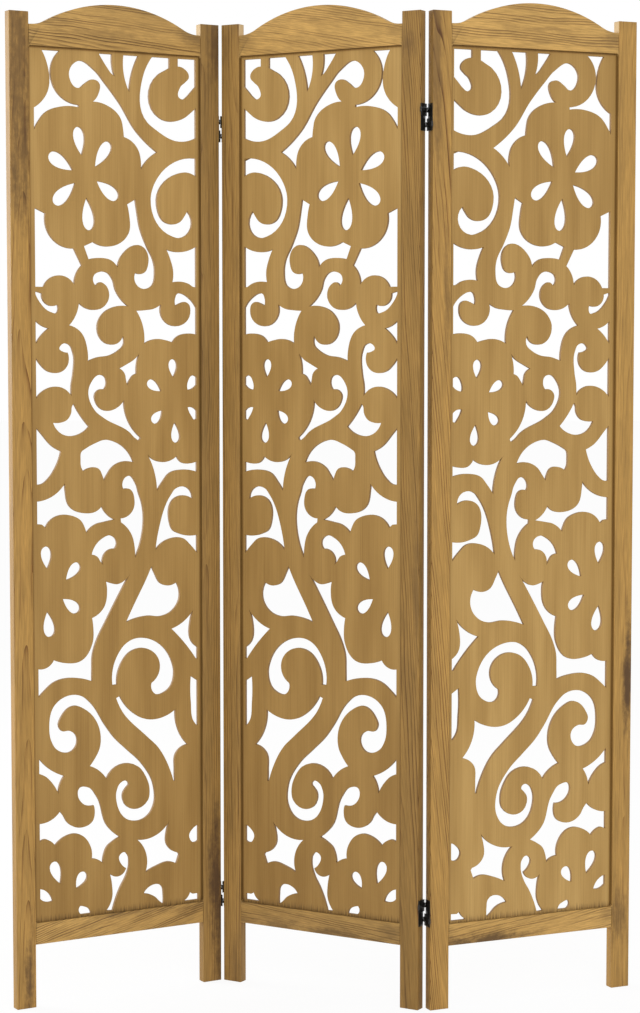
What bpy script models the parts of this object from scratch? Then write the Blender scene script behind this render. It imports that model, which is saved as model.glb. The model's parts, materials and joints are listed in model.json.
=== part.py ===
# A folding screen of three wooden panels. Each panel is a mortised frame round a board
# with scroll and flower fretwork, and two-way hinges join the panels so that they stand
# in a zigzag. Metres, +Z up, front towards -Y, origin on the floor under the middle.

import math

import bmesh
import bpy
from mathutils import Vector
from mathutils.geometry import interpolate_bezier

# The frame of one panel
PANEL_WIDTH = 0.390
STILE_HEIGHT = 1.680
STILE_WIDTH = 0.035
STILE_THICKNESS = 0.018
RAIL_THICKNESS = 0.017
FOOT_HEIGHT = 0.108  # from the floor to the bottom rail
BOTTOM_RAIL_HEIGHT = 0.037
TOP_RAIL_HEIGHT = 0.035  # at its shoulders, beside the stiles
SHOULDER_DROP = 0.020  # the shoulders lie this far below the stile tops
SHOULDER_FLAT = 0.002
CROWN_RISE = 0.041  # the peak of the crown above the shoulders
CROWN_FILLET = 0.064  # the hollow sweep from a shoulder up to the crown
CROWN_STEPS = 14
FILLET_STEPS = 3
INNER_CORNER = 0.004  # radius in the corners of the frame's opening
TENON_LENGTH = 0.020
TENON_INSET = 0.006  # from a rail's outer edge to its tenon

# The fretwork board, held in a groove all round
BOARD_THICKNESS = 0.006
GROOVE_DEPTH = 0.0075
GROOVE_SLACK = 0.0005  # room for the board to swell
LEFT_BORDER = 0.007  # plain wood left of the cut-outs, as the drawing has it
RIGHT_BORDER = 0.011
TOP_BORDER = 0.006
BOTTOM_BORDER = 0.004
OUTLINE_ERROR = 0.001  # how far a facet may leave the drawn curve on either side

# The two-way hinges, rolled from sheet
SHEET_THICKNESS = 0.0007
PIN_DIAMETER = 0.0018
PIN_PROUD = 0.001  # the pins stand this far out from the faces of the stiles
HINGE_HEIGHT = 0.045
HALF_GAP = 0.004  # between the upper and the lower half of a hinge
KNUCKLE = 0.004  # each pin carries one knuckle of a leaf and one of a link
LEFT_HINGE_DROP = 0.1785  # from the stile tops to the middle of the upper hinges
RIGHT_HINGE_DROP = 0.175
LEFT_HINGE_RISE = 0.155  # from the floor to the middle of the lower hinges
RIGHT_HINGE_RISE = 0.166
LEAF_CURL = math.radians(280)
LINK_NECK = math.radians(60)  # where the neck of a link meets its curl
LINK_CURL = math.radians(270)
CURL_STEPS = 5
PIN_SIDES = 6

FIT = 0.0003  # clearance between pieces that touch

# How the screen stands at rest
MIDDLE_TURN = math.radians(-30.3)
LEFT_FOLD = math.radians(60.2)
RIGHT_FOLD = math.radians(54.2)

# Colour, roughness and metallic value of each finish
STILE_FINISH = ("stained_stile", (0.30, 0.18, 0.065), 0.55, 0.0)
RAIL_FINISH = ("stained_rail", (0.44, 0.28, 0.105), 0.55, 0.0)
BOARD_FINISH = ("stained_plywood", (0.38, 0.23, 0.075), 0.6, 0.0)
HINGE_FINISH = ("black_lacquered_steel", (0.012, 0.011, 0.010), 0.4, 0.8)
PIN_FINISH = ("black_steel_pin", (0.02, 0.02, 0.02), 0.35, 1.0)

# Sizes that follow from those above
OPENING_WIDTH = PANEL_WIDTH - 2 * STILE_WIDTH
SHOULDER_HEIGHT = STILE_HEIGHT - SHOULDER_DROP
OPENING_TOP = SHOULDER_HEIGHT - TOP_RAIL_HEIGHT
OPENING_BOTTOM = FOOT_HEIGHT + BOTTOM_RAIL_HEIGHT
TONGUE = GROOVE_DEPTH - GROOVE_SLACK
SLOT_WIDTH = BOARD_THICKNESS + 2 * FIT
BARREL_RADIUS = PIN_DIAMETER / 2 + FIT + SHEET_THICKNESS
CURL_RADIUS = BARREL_RADIUS - SHEET_THICKNESS / 2
PANEL_GAP = 2 * (BARREL_RADIUS + FIT)
PANEL_PITCH = PANEL_WIDTH + PANEL_GAP
PIN_OFFSET = STILE_THICKNESS / 2 + PIN_PROUD  # from the middle of a panel's thickness
HALF_HEIGHT = (HINGE_HEIGHT - HALF_GAP) / 2
PIN_LENGTH = 2 * KNUCKLE + FIT

# The fretwork is drawn once, on a sheet in millimetres with x from the left border and y
# downwards, and scaled to the board. A tuple is a point that the line flows through and
# a list is a sharp corner.
SHEET_RIGHT = 302
SHEET_TOP = -2
SHEET_BOTTOM = 1468

OPENINGS = [
    # Hook in the upper left corner
    [[0, -2], [34, -2], [34, 11.5], (23, 14), (13, 30), (20, 38), (29, 46), (30.5, 65.5),
     (24, 67), (17, 62.5), (8, 53), [0, 44.5]],
    # Crescent round the upper left scroll
    [[50, -2], [83, -2], (101, 34), (93, 109), (77, 121), (33, 139.5), [0, 132.5], [0, 81.5],
     (10, 90), (22, 99), (68, 101.5), (71, 27), (60, 20.5), [50, 15]],
    # Two spikes at the top
    [[109, -2], [137, -2], (136.5, 30), [126.5, 59.5], (122, 31)],
    [[158.5, -2], [183, -2], (168, 20), (160, 30), [153.5, 34.5], (158.5, 14)],
    # Bird's head above the large flower
    [[74.5, 159.5], (114, 125), (145, 79), (172, 46.5), (190, 27), (222, 13), (237.5, 40),
     (220, 57.5), (209, 49.5), (195, 42), (184.5, 45), (185, 68), [194, 79], (171, 83),
     (141.5, 108), (138.5, 122), [137, 136], (109.5, 158), (105.5, 173), [105.3, 190], (97, 178)],
    # Waisted opening in the upper right corner
    [[255, -2], [287.5, -2], (279, 16), (280, 72.5), [302, 94], [302, 130], (294, 116),
     (283, 102.5), (250, 89.5), [220.5, 90], [220.5, 86], (265, 59), (270, 22)],
    # Crescent below it on the left
    [[0, 167.5], (72.5, 201.5), (87, 240), (46, 302.5), (33, 305), [17, 258.5], (22, 267),
     (31, 277.5), (58, 279.5), (75, 250), (34, 194.3), (17, 192), [0, 198.5]],
    # Corner piece under that crescent
    [[0, 319], (42, 329), [57.5, 325], (49.5, 343), (44.5, 362), [46, 381.5], (15, 383.5),
     (5, 389), [0, 389.5]],
    # Long stem between the crescent and the large flower
    [[116, 241], [131.5, 250], (128, 266), (129, 299), (167, 322.3), [195.5, 315],
     [212.5, 322.5], [204, 344.5], (188, 341.8), (158, 348), [150, 357], (143, 338.5),
     (100, 323), (92.5, 352), (99, 365), [117, 366], (113, 388), (88, 390), (79.5, 363),
     (82, 346), (95, 320), (107, 291), (113, 260)],
    # Opening right of the large flower
    [[302, 260.5], [283, 269], (276, 304), [231, 327], [216.5, 355], (225, 365.5), [231, 387.5],
     (270, 374.5), [287, 391.7], [302, 391.7]],
    # Left scroll with the field beside it
    [[0, 425], (16, 407), (28, 401), (36.5, 401), (41, 409), [40.5, 422], (31, 417), (22, 415),
     (14.5, 419), (11.5, 430), (40, 457.3), [68, 419.5], (83, 427.5), (98, 429.8), [115, 431],
     (101.5, 463), [100.5, 487], (75, 479), (60, 481), [46, 485], (39, 476.5), (15, 469.5),
     [0, 471.5]],
    # Double scroll in the middle
    [[130.5, 423.3], (154, 396), (160, 377), (169, 367), (184, 365.5), (194, 371), [190.5, 389],
     (184, 383), (173, 387.5), (166.5, 400), (178, 425.5), (193, 430), [222.5, 418],
     (227.5, 437), [240.5, 456], (222, 465), (207, 500), [206.5, 516.5], (190, 510.5),
     (165, 506.5), (150, 499), (140, 489.5), [141, 474], (150, 486), (163, 489), (188.5, 456),
     (181, 439.5), (150, 423)],
    # Comma and wedge at the right border
    [[302, 399.5], [290.5, 403], (280, 422), [262, 421.5], (260.8, 429), (263, 435), (274, 434),
     (295, 416.5), [302, 404]],
    [[278.5, 461.5], (292, 456.5), [302, 448.5], [302, 487.5], (293.5, 475)],
    # Scroll and field below them
    [(234.5, 500), (240, 489.5), (256, 489.5), (259, 496), (254, 499.8), [244, 502], (245, 525),
     (281, 533.5), (292, 524.5), [302, 511], [302, 579], (290, 567), (249, 564), [237.5, 575.5],
     (237.3, 557), (234, 538)],
    # Small star right of the left flower
    [[110, 504], (120, 514.5), (133, 522), [147.5, 529.5], (138, 538), (135.5, 549),
     [133.5, 558.5], (128, 549), (122, 541.5), [115.5, 538.5], (114.8, 522)],
    # Two petals of the left flower that the border cuts
    [[0, 545.5], (6.5, 542.5), (17.5, 555), [17.5, 567], (9, 565.5), [0, 558.5]],
    [[17.5, 598], (9.5, 614), (4.5, 619.5), [0, 617.5], [0, 604], (6, 599)],
    # Tadpole
    [(172.3, 552), (175.5, 543.5), (184, 540.3), (202, 555), (194, 601), (178, 613.5),
     (130, 638.5), (117, 650.5), (111.5, 653), [109, 648], (131, 620.5), [139.5, 583.5],
     (150, 595), (184, 597.5), (192.5, 586), (194, 573.5), [177, 565]],
    # Boat and sail on the right
    [[233.5, 588.5], (226, 601.5), [205.5, 628], (216, 637), (266, 631), [271.5, 620.5],
     (257, 620.3), (246, 616), (238.5, 605), (236.5, 593)],
    [[302, 629], [302, 724], (293, 723.3), (282, 715.5), (270, 700), [257.5, 669], (271, 662),
     (294, 638)],
    # Cloud
    [[122, 691], (157, 655), (177, 651.3), (195, 657), (213, 666), (219.5, 670.5), (221.5, 684),
     (220.3, 697), [216.3, 704], (207, 699), (186.5, 701.5), (182, 709.5), [178.5, 721],
     (172, 711), (163, 699)],
    # Bat under the left flower
    [[0, 692.5], (9, 695), (32, 692), [39, 682], (62, 692), [95, 678.5], (80, 718),
     [77.5, 741.5], (66, 725.5), (54, 712), (27, 706), [0, 710.5]],
    # Scroll at the left border
    [[9, 757.5], (10.5, 747.5), (42, 739), (50.5, 749), (75, 811), [80.8, 844.5], (50, 825),
     (26, 826.5), (14, 837), [0, 853], [0, 821], (35, 817.5), (47, 811), (53, 797), (42, 754.5)],
    # Tall leaf right of the main stem
    [(112, 745), (118, 727), (131, 714), (143.3, 726), [141.5, 736.5], (131, 736.3),
     (120.5, 757), (123, 772), [147, 787], [146.5, 793.5], (125, 819), (121, 836), [120, 856],
     (107, 821), (107, 759)],
    # Spread wing at the right border
    [[159, 788.5], (170, 781.5), [182.5, 764.5], (190, 771.5), (215, 775.7), (242, 763.5),
     (250, 735), [251, 724], (278, 747), [302, 753], [302, 791], [293.5, 792], [287, 797.5],
     (281, 788.5), (235, 780), (222, 787.5), (215, 799), [211.5, 809.5], (193, 795),
     (178, 791.7)],
    # Thorn in the stem of the right flower
    [(154.5, 829), (169, 815.3), (181, 819.5), [202, 847], (191.5, 851), (185.5, 859.5),
     [181, 865.5], (174, 843), [158.5, 838.5]],
    # Large leaf left of the main stem
    [[88.5, 872], (83, 884), (70, 903.8), [41, 902.5], (34.5, 927), (52, 954), (70, 960),
     (96, 958), [138, 967], (126, 943.5), (95, 886)],
    # Long wedge along the right of the main stem
    [[131, 885], (141, 895), (154, 900.2), (166, 898), [175.5, 894], (173.5, 910), (181, 941),
     [202, 956], (200, 970), (202, 1001), (221, 1027.5), (255, 1030), [273.5, 1024],
     (290, 1037.5), [302, 1037.8], [302, 1086], (290, 1074.5), (275, 1063), (224, 1058.7),
     [202.5, 1065], (202.3, 1045), (201, 1018), (194, 996.5), (176, 963)],
    # Three-pointed star at the left border
    [[8, 952.5], (30, 974), [50.5, 983.5], (34, 1000), [3, 1039], [0, 1039], [0, 1019],
     (8.5, 1012), (13, 969)],
    # Large open ring
    [[155.5, 1074], [164.5, 1074.5], (153.5, 1021.5), (141, 1006), (127, 998), (93, 999),
     (49, 1043.5), (45.8, 1061), (60, 1091.5), (85, 1094), [89.8, 1076], (74, 1041),
     (95, 1016.5), (125, 1016.5), (150, 1043)],
    # Slim slot at the left border
    [[0, 1078], [13.5, 1069], (13.5, 1115), (8, 1149.5), [1.5, 1157.5], [0, 1157.5]],
    # Tail below the ring
    [[150.5, 1094.5], [157.5, 1097.5], (150, 1115), (98, 1170), (80, 1187), (55.5, 1229.5),
     [48, 1252], [45, 1252], (45.5, 1233), (42, 1202.5), [20.5, 1189.5], (40, 1157),
     [43.5, 1125.5], (58, 1134), (106, 1137), (123, 1127.5)],
    # Great double scroll near the foot
    [(86.5, 1257), (111, 1214), (137, 1189.5), (162, 1165.5), (178, 1144), (205, 1103),
     (220, 1090.5), (272, 1100.5), (283, 1139), (279.5, 1162), (269, 1178), (237, 1179.5),
     (235, 1154), (246, 1147.5), (260, 1146.5), (265.5, 1137), (261, 1123.5), (234, 1105),
     (218, 1111.5), (187.3, 1161), (190, 1184), (197, 1197), [208, 1211.5], (190, 1221.5),
     [176.7, 1236.5], (116, 1220.5), (102, 1238.5), (94.7, 1261), (98, 1281.5), (145.5, 1276),
     (145, 1263), (139.5, 1255.5), (134.7, 1249.5), (139.5, 1243.3), (150, 1246),
     (157.5, 1258.5), (158, 1278), (136, 1312), (98, 1308.5), (87, 1292)],
    # Fish tail at the right border
    [[302, 1191], [302, 1217], (291, 1222), (280, 1232.5), [267, 1254], (264.5, 1240),
     [256, 1224.5], (287, 1207)],
    # Bird near the foot
    [(195, 1266), (209, 1249.5), (229.5, 1250), (231, 1258), (226, 1271), [201, 1280.5],
     (199.3, 1293), (203, 1307), (224, 1316.8), (251, 1305), (258, 1293), [264.5, 1285],
     (275, 1295), [302, 1303], [302, 1334], (293, 1330.3), (283, 1334), [273.7, 1343],
     (250, 1327.8), (238, 1326), (207, 1353), [205.5, 1373], (196, 1375), [184.5, 1383],
     (182, 1367), (176.5, 1355.5), (166, 1347.5), [152.5, 1340.5], (175, 1320)],
    # Half petal and star at the lower left
    [[0, 1334.5], (9, 1339), (17.5, 1355), (6, 1365.3), [0, 1362.5]],
    [[56.5, 1322.5], (83, 1345), [118, 1349.5], (101, 1378), [103.5, 1408.5], (84, 1400),
     (55, 1394.5), [43, 1399], [37.5, 1384], [40, 1380], (61, 1364.5), (61, 1337)],
    # Petal and scrap at the lower border
    [[68.5, 1468], (68.3, 1452), (71, 1437.5), (100, 1437), [107, 1445.5], (85, 1453.5),
     (76, 1462.5)],
    [[0, 1456.5], [11, 1457], [16.5, 1453.5], (20.5, 1461), [27, 1466.5], [26, 1468], [0, 1468]],
    # Fish hook
    [(134.5, 1388), (136.5, 1375), (144, 1368.2), (152, 1372), (148.5, 1390), [140.5, 1396.5],
     (152, 1408.8), [171.5, 1403], (167.3, 1425), (167.5, 1446), [178.5, 1467], [166.5, 1468],
     (151, 1428), (141, 1411)],
    # Two petals of the lowest flower that the border cuts
    [[279, 1438.5], (290, 1421), [302, 1415.5], [302, 1432], (292, 1438.5)],
    [[208, 1468], (210.5, 1461), (218, 1456), [227.5, 1453], (230.5, 1457.5), [225, 1468]],
]

# Whole petals are drops: the tip, the middle of the round end, and the width
DROPS = [
    # Large flower
    ((215.8, 170), (223, 122.5), 21),
    ((191, 188.5), (163.5, 146), 21.5),
    ((232, 195.5), (275.5, 170.3), 23.5),
    ((188, 212.5), (148.5, 241), 23),
    ((207.5, 241), (202, 295.5), 22.5),
    ((228, 217), (267, 252.5), 24),
    # Left flower
    ((45, 545.5), (46.5, 514), 16.5),
    ((68.5, 569), (94.5, 552), 16.5),
    ((66.5, 602.5), (85.5, 623), 17),
    ((43, 623.5), (40, 659), 17),
    # Right flower
    ((284.3, 867.6), (287, 829.5), 19.5),
    ((250, 888.5), (225.5, 861), 19),
    ((256, 920.5), (226, 943), 20),
    ((285, 940.5), (279.5, 984), 21),
    # Lowest flower
    ((235, 1422), (218.5, 1395), 19),
    ((264.5, 1410), (278, 1371), 20),
]
DROP_POINTS = 8
DROP_PEAK = 4 / math.sqrt(27)  # the greatest value of sin(t) sin(t / 2)


def start_empty():
    for found in list(bpy.data.objects):
        bpy.data.objects.remove(found, do_unlink=True)


def finish_material(finish):
    name, colour, roughness, metallic = finish
    material = bpy.data.materials.get(name)
    if material is None:
        material = bpy.data.materials.new(name)
        material.use_nodes = True
        shader = material.node_tree.nodes["Principled BSDF"]
        shader.inputs["Base Color"].default_value = (*colour, 1)
        shader.inputs["Roughness"].default_value = roughness
        shader.inputs["Metallic"].default_value = metallic
    return material


def add_object(name, data, body, place, finish):
    """Puts a piece into the scene on a body, at a place in that body's panel."""
    piece = bpy.data.objects.new(name, data)
    bpy.context.scene.collection.objects.link(piece)
    piece.parent = body["axis"]
    piece.location = body["seat"] + Vector(place)
    if finish:
        data.materials.append(finish_material(finish))
    return piece


def mesh_from(shape, name):
    bmesh.ops.recalc_face_normals(shape, faces=shape.faces)
    mesh = bpy.data.meshes.new(name)
    shape.to_mesh(mesh)
    shape.free()
    return mesh


def prism(name, outline, thickness):
    """A mesh with this outline in x and z, and this thickness in y round zero."""
    shape = bmesh.new()
    front = shape.faces.new([shape.verts.new((x, -thickness / 2, z)) for x, z in outline])
    swept = bmesh.ops.extrude_face_region(shape, geom=[front])["geom"]
    moved = [part for part in swept if isinstance(part, bmesh.types.BMVert)]
    bmesh.ops.translate(shape, verts=moved, vec=(0, thickness, 0))
    return mesh_from(shape, name)


def rectangle(left, right, low, high):
    return [(left, low), (right, low), (right, high), (left, high)]


def arc(centre_x, centre_z, radius, start, end, steps):
    angles = [start + (end - start) * i / steps for i in range(steps + 1)]
    return [(centre_x + radius * math.cos(a), centre_z + radius * math.sin(a)) for a in angles]


def cut_or_join(piece, tool_mesh, operation):
    """A Boolean with a hidden tool that sits where the piece sits."""
    tool = bpy.data.objects.new(tool_mesh.name, tool_mesh)
    bpy.context.scene.collection.objects.link(tool)
    tool.parent = piece.parent
    tool.location = piece.location
    tool.hide_render = True
    tool.display_type = "WIRE"
    change = piece.modifiers.new(tool_mesh.name, "BOOLEAN")
    change.operation = operation
    change.solver = "EXACT"
    change.object = tool


def tenon_heights():
    """The lowest and highest level of the tenons of the bottom and the top rail."""
    bottom = (FOOT_HEIGHT + TENON_INSET, OPENING_BOTTOM - GROOVE_DEPTH - FIT)
    top = (OPENING_TOP + GROOVE_DEPTH + FIT, SHOULDER_HEIGHT - TENON_INSET)
    return bottom, top


def add_stile(name, body, side):
    """A stile with a groove for the board and a mortise at each rail. Side is -1 or 1."""
    outer = side * PANEL_WIDTH / 2
    inner = side * OPENING_WIDTH / 2
    outline = rectangle(outer, inner, 0, STILE_HEIGHT)
    stile = add_object(name, prism(name, outline, STILE_THICKNESS), body, (0, 0, 0), STILE_FINISH)
    bottom, top = tenon_heights()
    mouth = inner - side * FIT
    deep = inner + side * (TENON_LENGTH + FIT)
    shallow = inner + side * GROOVE_DEPTH
    slot = [
        (mouth, bottom[0] - FIT),
        (deep, bottom[0] - FIT),
        (deep, bottom[1] + FIT),
        (shallow, bottom[1] + FIT),
        (shallow, top[0] - FIT),
        (deep, top[0] - FIT),
        (deep, top[1] + FIT),
        (mouth, top[1] + FIT),
    ]
    cut_or_join(stile, prism(name + "_slot", slot, SLOT_WIDTH), "DIFFERENCE")


def crown_outline(half):
    """The upper edge of the top rail from right to left: shoulders, fillets and crown."""
    foot_x = half - SHOULDER_FLAT
    reach = (foot_x**2 + CROWN_RISE**2) / (2 * CROWN_RISE)  # crown and fillet radius together
    crown_radius = reach - CROWN_FILLET
    centre_z = SHOULDER_HEIGHT + CROWN_RISE - crown_radius
    swing = math.asin(foot_x / reach)
    right = arc(foot_x, SHOULDER_HEIGHT + CROWN_FILLET, CROWN_FILLET,
                -math.pi / 2, -math.pi / 2 - swing, FILLET_STEPS)
    crown = arc(0, centre_z, crown_radius, math.pi / 2 - swing, math.pi / 2 + swing, CROWN_STEPS)
    left = [(-x, z) for x, z in reversed(right)]
    return [(half, SHOULDER_HEIGHT)] + right + crown[1:-1] + left + [(-half, SHOULDER_HEIGHT)]


def opening_edge(half, level, away):
    """A rail's edge on the opening, left to right, with the rounded corners of the opening.
    Away is 1 where the opening lies above the rail and -1 where it lies below."""
    centre = half - INNER_CORNER
    start = -away * math.pi / 2
    right = arc(centre, level + away * INNER_CORNER, INNER_CORNER, start, 0, FILLET_STEPS)
    return [(-x, z) for x, z in reversed(right)] + right


def add_rail(name, body, outline, tenon, groove):
    """A rail with a tenon at each end and a groove for the board along one edge."""
    rail = add_object(name, prism(name, outline, RAIL_THICKNESS), body, (0, 0, 0), RAIL_FINISH)
    reach = OPENING_WIDTH / 2 + TENON_LENGTH
    bar = rectangle(-reach, reach, *tenon)
    cut_or_join(rail, prism(name + "_tenons", bar, BOARD_THICKNESS), "UNION")
    past = OPENING_WIDTH / 2 + FIT
    cutter = rectangle(-past, past, *groove)
    cut_or_join(rail, prism(name + "_groove", cutter, SLOT_WIDTH), "DIFFERENCE")


def add_rails(panel, body):
    half = OPENING_WIDTH / 2 - FIT
    bottom, top = tenon_heights()
    beyond = INNER_CORNER + FIT  # the groove cutters reach past the rounded corners
    lower_edge = opening_edge(half, OPENING_BOTTOM, 1)
    outline = [(half, FOOT_HEIGHT)] + lower_edge[::-1] + [(-half, FOOT_HEIGHT)]
    groove = (OPENING_BOTTOM - GROOVE_DEPTH, OPENING_BOTTOM + beyond)
    add_rail(panel + "_bottom_rail", body, outline, bottom, groove)
    outline = opening_edge(half, OPENING_TOP, -1) + crown_outline(half)
    groove = (OPENING_TOP - beyond, OPENING_TOP + GROOVE_DEPTH)
    add_rail(panel + "_top_rail", body, outline, top, groove)


def bend_tangent(before, point, after):
    """The direction at a point of the circle through it and its neighbours."""
    near = point - before
    far = after - point
    return (near / near.length_squared + far / far.length_squared).normalized()


def mirrored_tangent(tangent, chord):
    """The direction at the other end of an arc that has this tangent at one end."""
    along = chord.normalized()
    return 2 * tangent.dot(along) * along - tangent


def flowing_stretch(points, error):
    """Points along a smooth line between two corners, without the last corner. Its facets
    straddle the line: each bend moves out by half the height of the arcs beside it."""
    if len(points) == 2:
        return points[:1]
    chords = [b - a for a, b in zip(points, points[1:])]
    inner = [bend_tangent(*points[i - 1 : i + 2]) for i in range(1, len(points) - 1)]
    first = mirrored_tangent(inner[0], chords[0])
    last = mirrored_tangent(inner[-1], chords[-1])
    tangents = [first] + inner + [last]
    line = []
    for i, chord in enumerate(chords):
        turn = (chord.angle(tangents[i]) + chord.angle(tangents[i + 1])) / 2
        handle = chord.length / (3 * math.cos(turn / 2) ** 2)
        height = chord.length / 2 * math.tan(turn / 2)
        steps = max(1, math.ceil(math.sqrt(height / (2 * error))))
        start_handle = points[i] + tangents[i] * handle
        end_handle = points[i + 1] - tangents[i + 1] * handle
        line += interpolate_bezier(points[i], start_handle, end_handle, points[i + 1], steps + 1)[:-1]
    line.append(points[-1])
    bends = [p + (p - (a + b) / 2) / 8 for a, p, b in zip(line, line[1:], line[2:])]
    return line[:1] + bends


def flowing_outline(marks, to_board, error):
    """A closed outline on the board through the marks of a drawing, sharp at its lists."""
    first = next(i for i, mark in enumerate(marks) if isinstance(mark, list))
    marks = marks[first:] + marks[: first + 1]
    outline = []
    stretch = [to_board(*marks[0])]
    for mark in marks[1:]:
        stretch.append(to_board(*mark))
        if isinstance(mark, list):
            outline += flowing_stretch(stretch, error)
            stretch = stretch[-1:]
    return outline


def drop_outline(tip, end, width, to_board):
    """A teardrop from its tip to its round end."""
    tip = Vector(tip)
    length = Vector(end) - tip
    across = Vector((-length.y, length.x)).normalized() * width / (2 * DROP_PEAK)
    turns = [2 * math.pi * i / DROP_POINTS for i in range(DROP_POINTS)]
    marks = [
        tip + length * (1 - math.cos(t)) / 2 + across * math.sin(t) * math.sin(t / 2)
        for t in turns
    ]
    return [to_board(*mark) for mark in marks]


def add_fretwork(name, body, mirror):
    """The cut board. Mirror is -1 on the panel that has the drawing turned over."""
    field_width = OPENING_WIDTH - LEFT_BORDER - RIGHT_BORDER
    field_left = LEFT_BORDER - OPENING_WIDTH / 2
    field_top = OPENING_TOP - TOP_BORDER
    field_height = field_top - OPENING_BOTTOM - BOTTOM_BORDER

    def to_board(x, y):
        across = field_left + x / SHEET_RIGHT * field_width
        down = (y - SHEET_TOP) / (SHEET_BOTTOM - SHEET_TOP) * field_height
        return Vector((mirror * across, field_top - down, 0))

    half = OPENING_WIDTH / 2 + TONGUE
    edge = rectangle(-half, half, OPENING_BOTTOM - TONGUE, OPENING_TOP + TONGUE)
    outlines = [[Vector((x, z, 0)) for x, z in edge]]
    outlines += [flowing_outline(marks, to_board, OUTLINE_ERROR) for marks in OPENINGS]
    outlines += [drop_outline(*drop, to_board) for drop in DROPS]
    board = bpy.data.curves.new(name, "CURVE")
    board.dimensions = "2D"
    board.fill_mode = "BOTH"
    board.extrude = BOARD_THICKNESS / 2
    for outline in outlines:
        spline = board.splines.new("POLY")
        spline.points.add(len(outline) - 1)
        for point, place in zip(spline.points, outline):
            point.co = (*place, 1)
        spline.use_cyclic_u = True
    fretwork = add_object(name, board, body, (0, 0, 0), BOARD_FINISH)
    fretwork.rotation_euler.x = math.pi / 2


def rolled_sheet(name, strips):
    """A sheet of steel. Each strip is a bent section in x and y between two levels."""
    shape = bmesh.new()
    for section, low, high in strips:
        rows = [[shape.verts.new((x, y, z)) for x, y in section] for z in (low, high)]
        for i in range(len(section) - 1):
            shape.faces.new((rows[0][i], rows[0][i + 1], rows[1][i + 1], rows[1][i]))
    bmesh.ops.remove_doubles(shape, verts=shape.verts, dist=1e-6)
    return mesh_from(shape, name)


def curl(start, sweep):
    """Points round the front pin from one angle through a sweep."""
    return arc(0, -PIN_OFFSET, CURL_RADIUS, start, start + sweep, CURL_STEPS)


def turned(section):
    """The same section seen from the other side of the screen."""
    return [(-x, -y) for x, y in section]


def knuckle_levels():
    """The levels in one half of a hinge of the leaf's knuckle, and of the link's above it."""
    start = (HALF_HEIGHT - PIN_LENGTH) / 2
    return (start, start + KNUCKLE), (start + KNUCKLE + FIT, start + PIN_LENGTH)


def leaf_mesh():
    """The left leaf: a plate on the stile, rolled to the front pin in its upper half and
    to the back pin in its lower half. The right leaf is the same piece turned about."""
    edge = PIN_OFFSET - BARREL_RADIUS
    plate = [(-CURL_RADIUS, -edge), (-CURL_RADIUS, edge)]
    front_tab = plate[:1] + curl(math.pi, LEAF_CURL)
    back_tab = [(x, -y) for x, y in front_tab]
    low, high = knuckle_levels()[0]
    upper = HALF_HEIGHT + HALF_GAP
    levels = [0, low, high, upper + low, upper + high, HINGE_HEIGHT]
    strips = [(plate, a, b) for a, b in zip(levels, levels[1:])]
    strips.append((back_tab, low, high))
    strips.append((front_tab, upper + low, upper + high))
    return rolled_sheet("hinge_leaf", strips)


def link_mesh():
    """A link from a front pin to a back pin. Above and below the knuckles its plate reaches
    as far as the pins, with slits round the two knuckles."""
    edge = PIN_OFFSET - BARREL_RADIUS - SHEET_THICKNESS
    plate = [(0, -edge), (0, edge)]
    front_tab = plate[:1] + curl(LINK_NECK, -LINK_CURL)
    front_wing = [(0, -edge), (0, -PIN_OFFSET)]
    leaf_knuckle, link_knuckle = knuckle_levels()
    low_slit = leaf_knuckle[0] - FIT
    high_slit = link_knuckle[1] + FIT
    levels = [0, low_slit, *link_knuckle, high_slit, HALF_HEIGHT]
    strips = [(plate, a, b) for a, b in zip(levels, levels[1:])]
    for tab, wing in ((front_tab, front_wing), (turned(front_tab), turned(front_wing))):
        strips.append((tab, *link_knuckle))
        strips.append((wing, 0, low_slit))
        strips.append((wing, high_slit, HALF_HEIGHT))
    return rolled_sheet("hinge_link", strips)


def pin_mesh():
    shape = bmesh.new()
    bmesh.ops.create_cone(
        shape,
        cap_ends=True,
        segments=PIN_SIDES,
        radius1=PIN_DIAMETER / 2,
        radius2=PIN_DIAMETER / 2,
        depth=PIN_LENGTH,
    )
    bmesh.ops.translate(shape, verts=shape.verts, vec=(0, 0, HALF_HEIGHT / 2))
    return mesh_from(shape, "hinge_pin")


def smooth_round(mesh):
    mesh.shade_smooth()
    mesh.set_sharp_from_angle(angle=math.radians(50))


def add_sheet_piece(name, mesh, body, place, turn):
    piece = add_object(name, mesh.copy(), body, place, HINGE_FINISH)
    piece.rotation_euler.z = turn
    wall = piece.modifiers.new("sheet", "SOLIDIFY")
    wall.thickness = SHEET_THICKNESS
    wall.offset = 0
    wall.use_even_offset = True


def add_hinge(name, left, right, folds_forward, level, meshes):
    """A two-way hinge between two panels. A screen that folds forward turns on the front
    pins: the upper link then stays with the right panel and the lower one with the left.
    One that folds backward turns on the back pins, and the links change sides."""
    upper = level + HALF_HEIGHT + HALF_GAP
    left_gap = PANEL_PITCH / 2
    right_gap = -PANEL_PITCH / 2
    if folds_forward:
        upper_link, lower_link = (right, right_gap), (left, left_gap)
    else:
        upper_link, lower_link = (left, left_gap), (right, right_gap)
    add_sheet_piece(name + "_left_leaf", meshes["leaf"], left, (left_gap, 0, level), 0)
    add_sheet_piece(name + "_right_leaf", meshes["leaf"], right, (right_gap, 0, level), math.pi)
    for half, (body, gap), z in (("upper", upper_link, upper), ("lower", lower_link, level)):
        add_sheet_piece(f"{name}_{half}_link", meshes["link"], body, (gap, 0, z), 0)
        for row, y in (("front", -PIN_OFFSET), ("back", PIN_OFFSET)):
            pin = meshes["pin"].copy()
            smooth_round(pin)
            add_object(f"{name}_{half}_{row}_pin", pin, body, (gap, y, z), PIN_FINISH)


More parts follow.
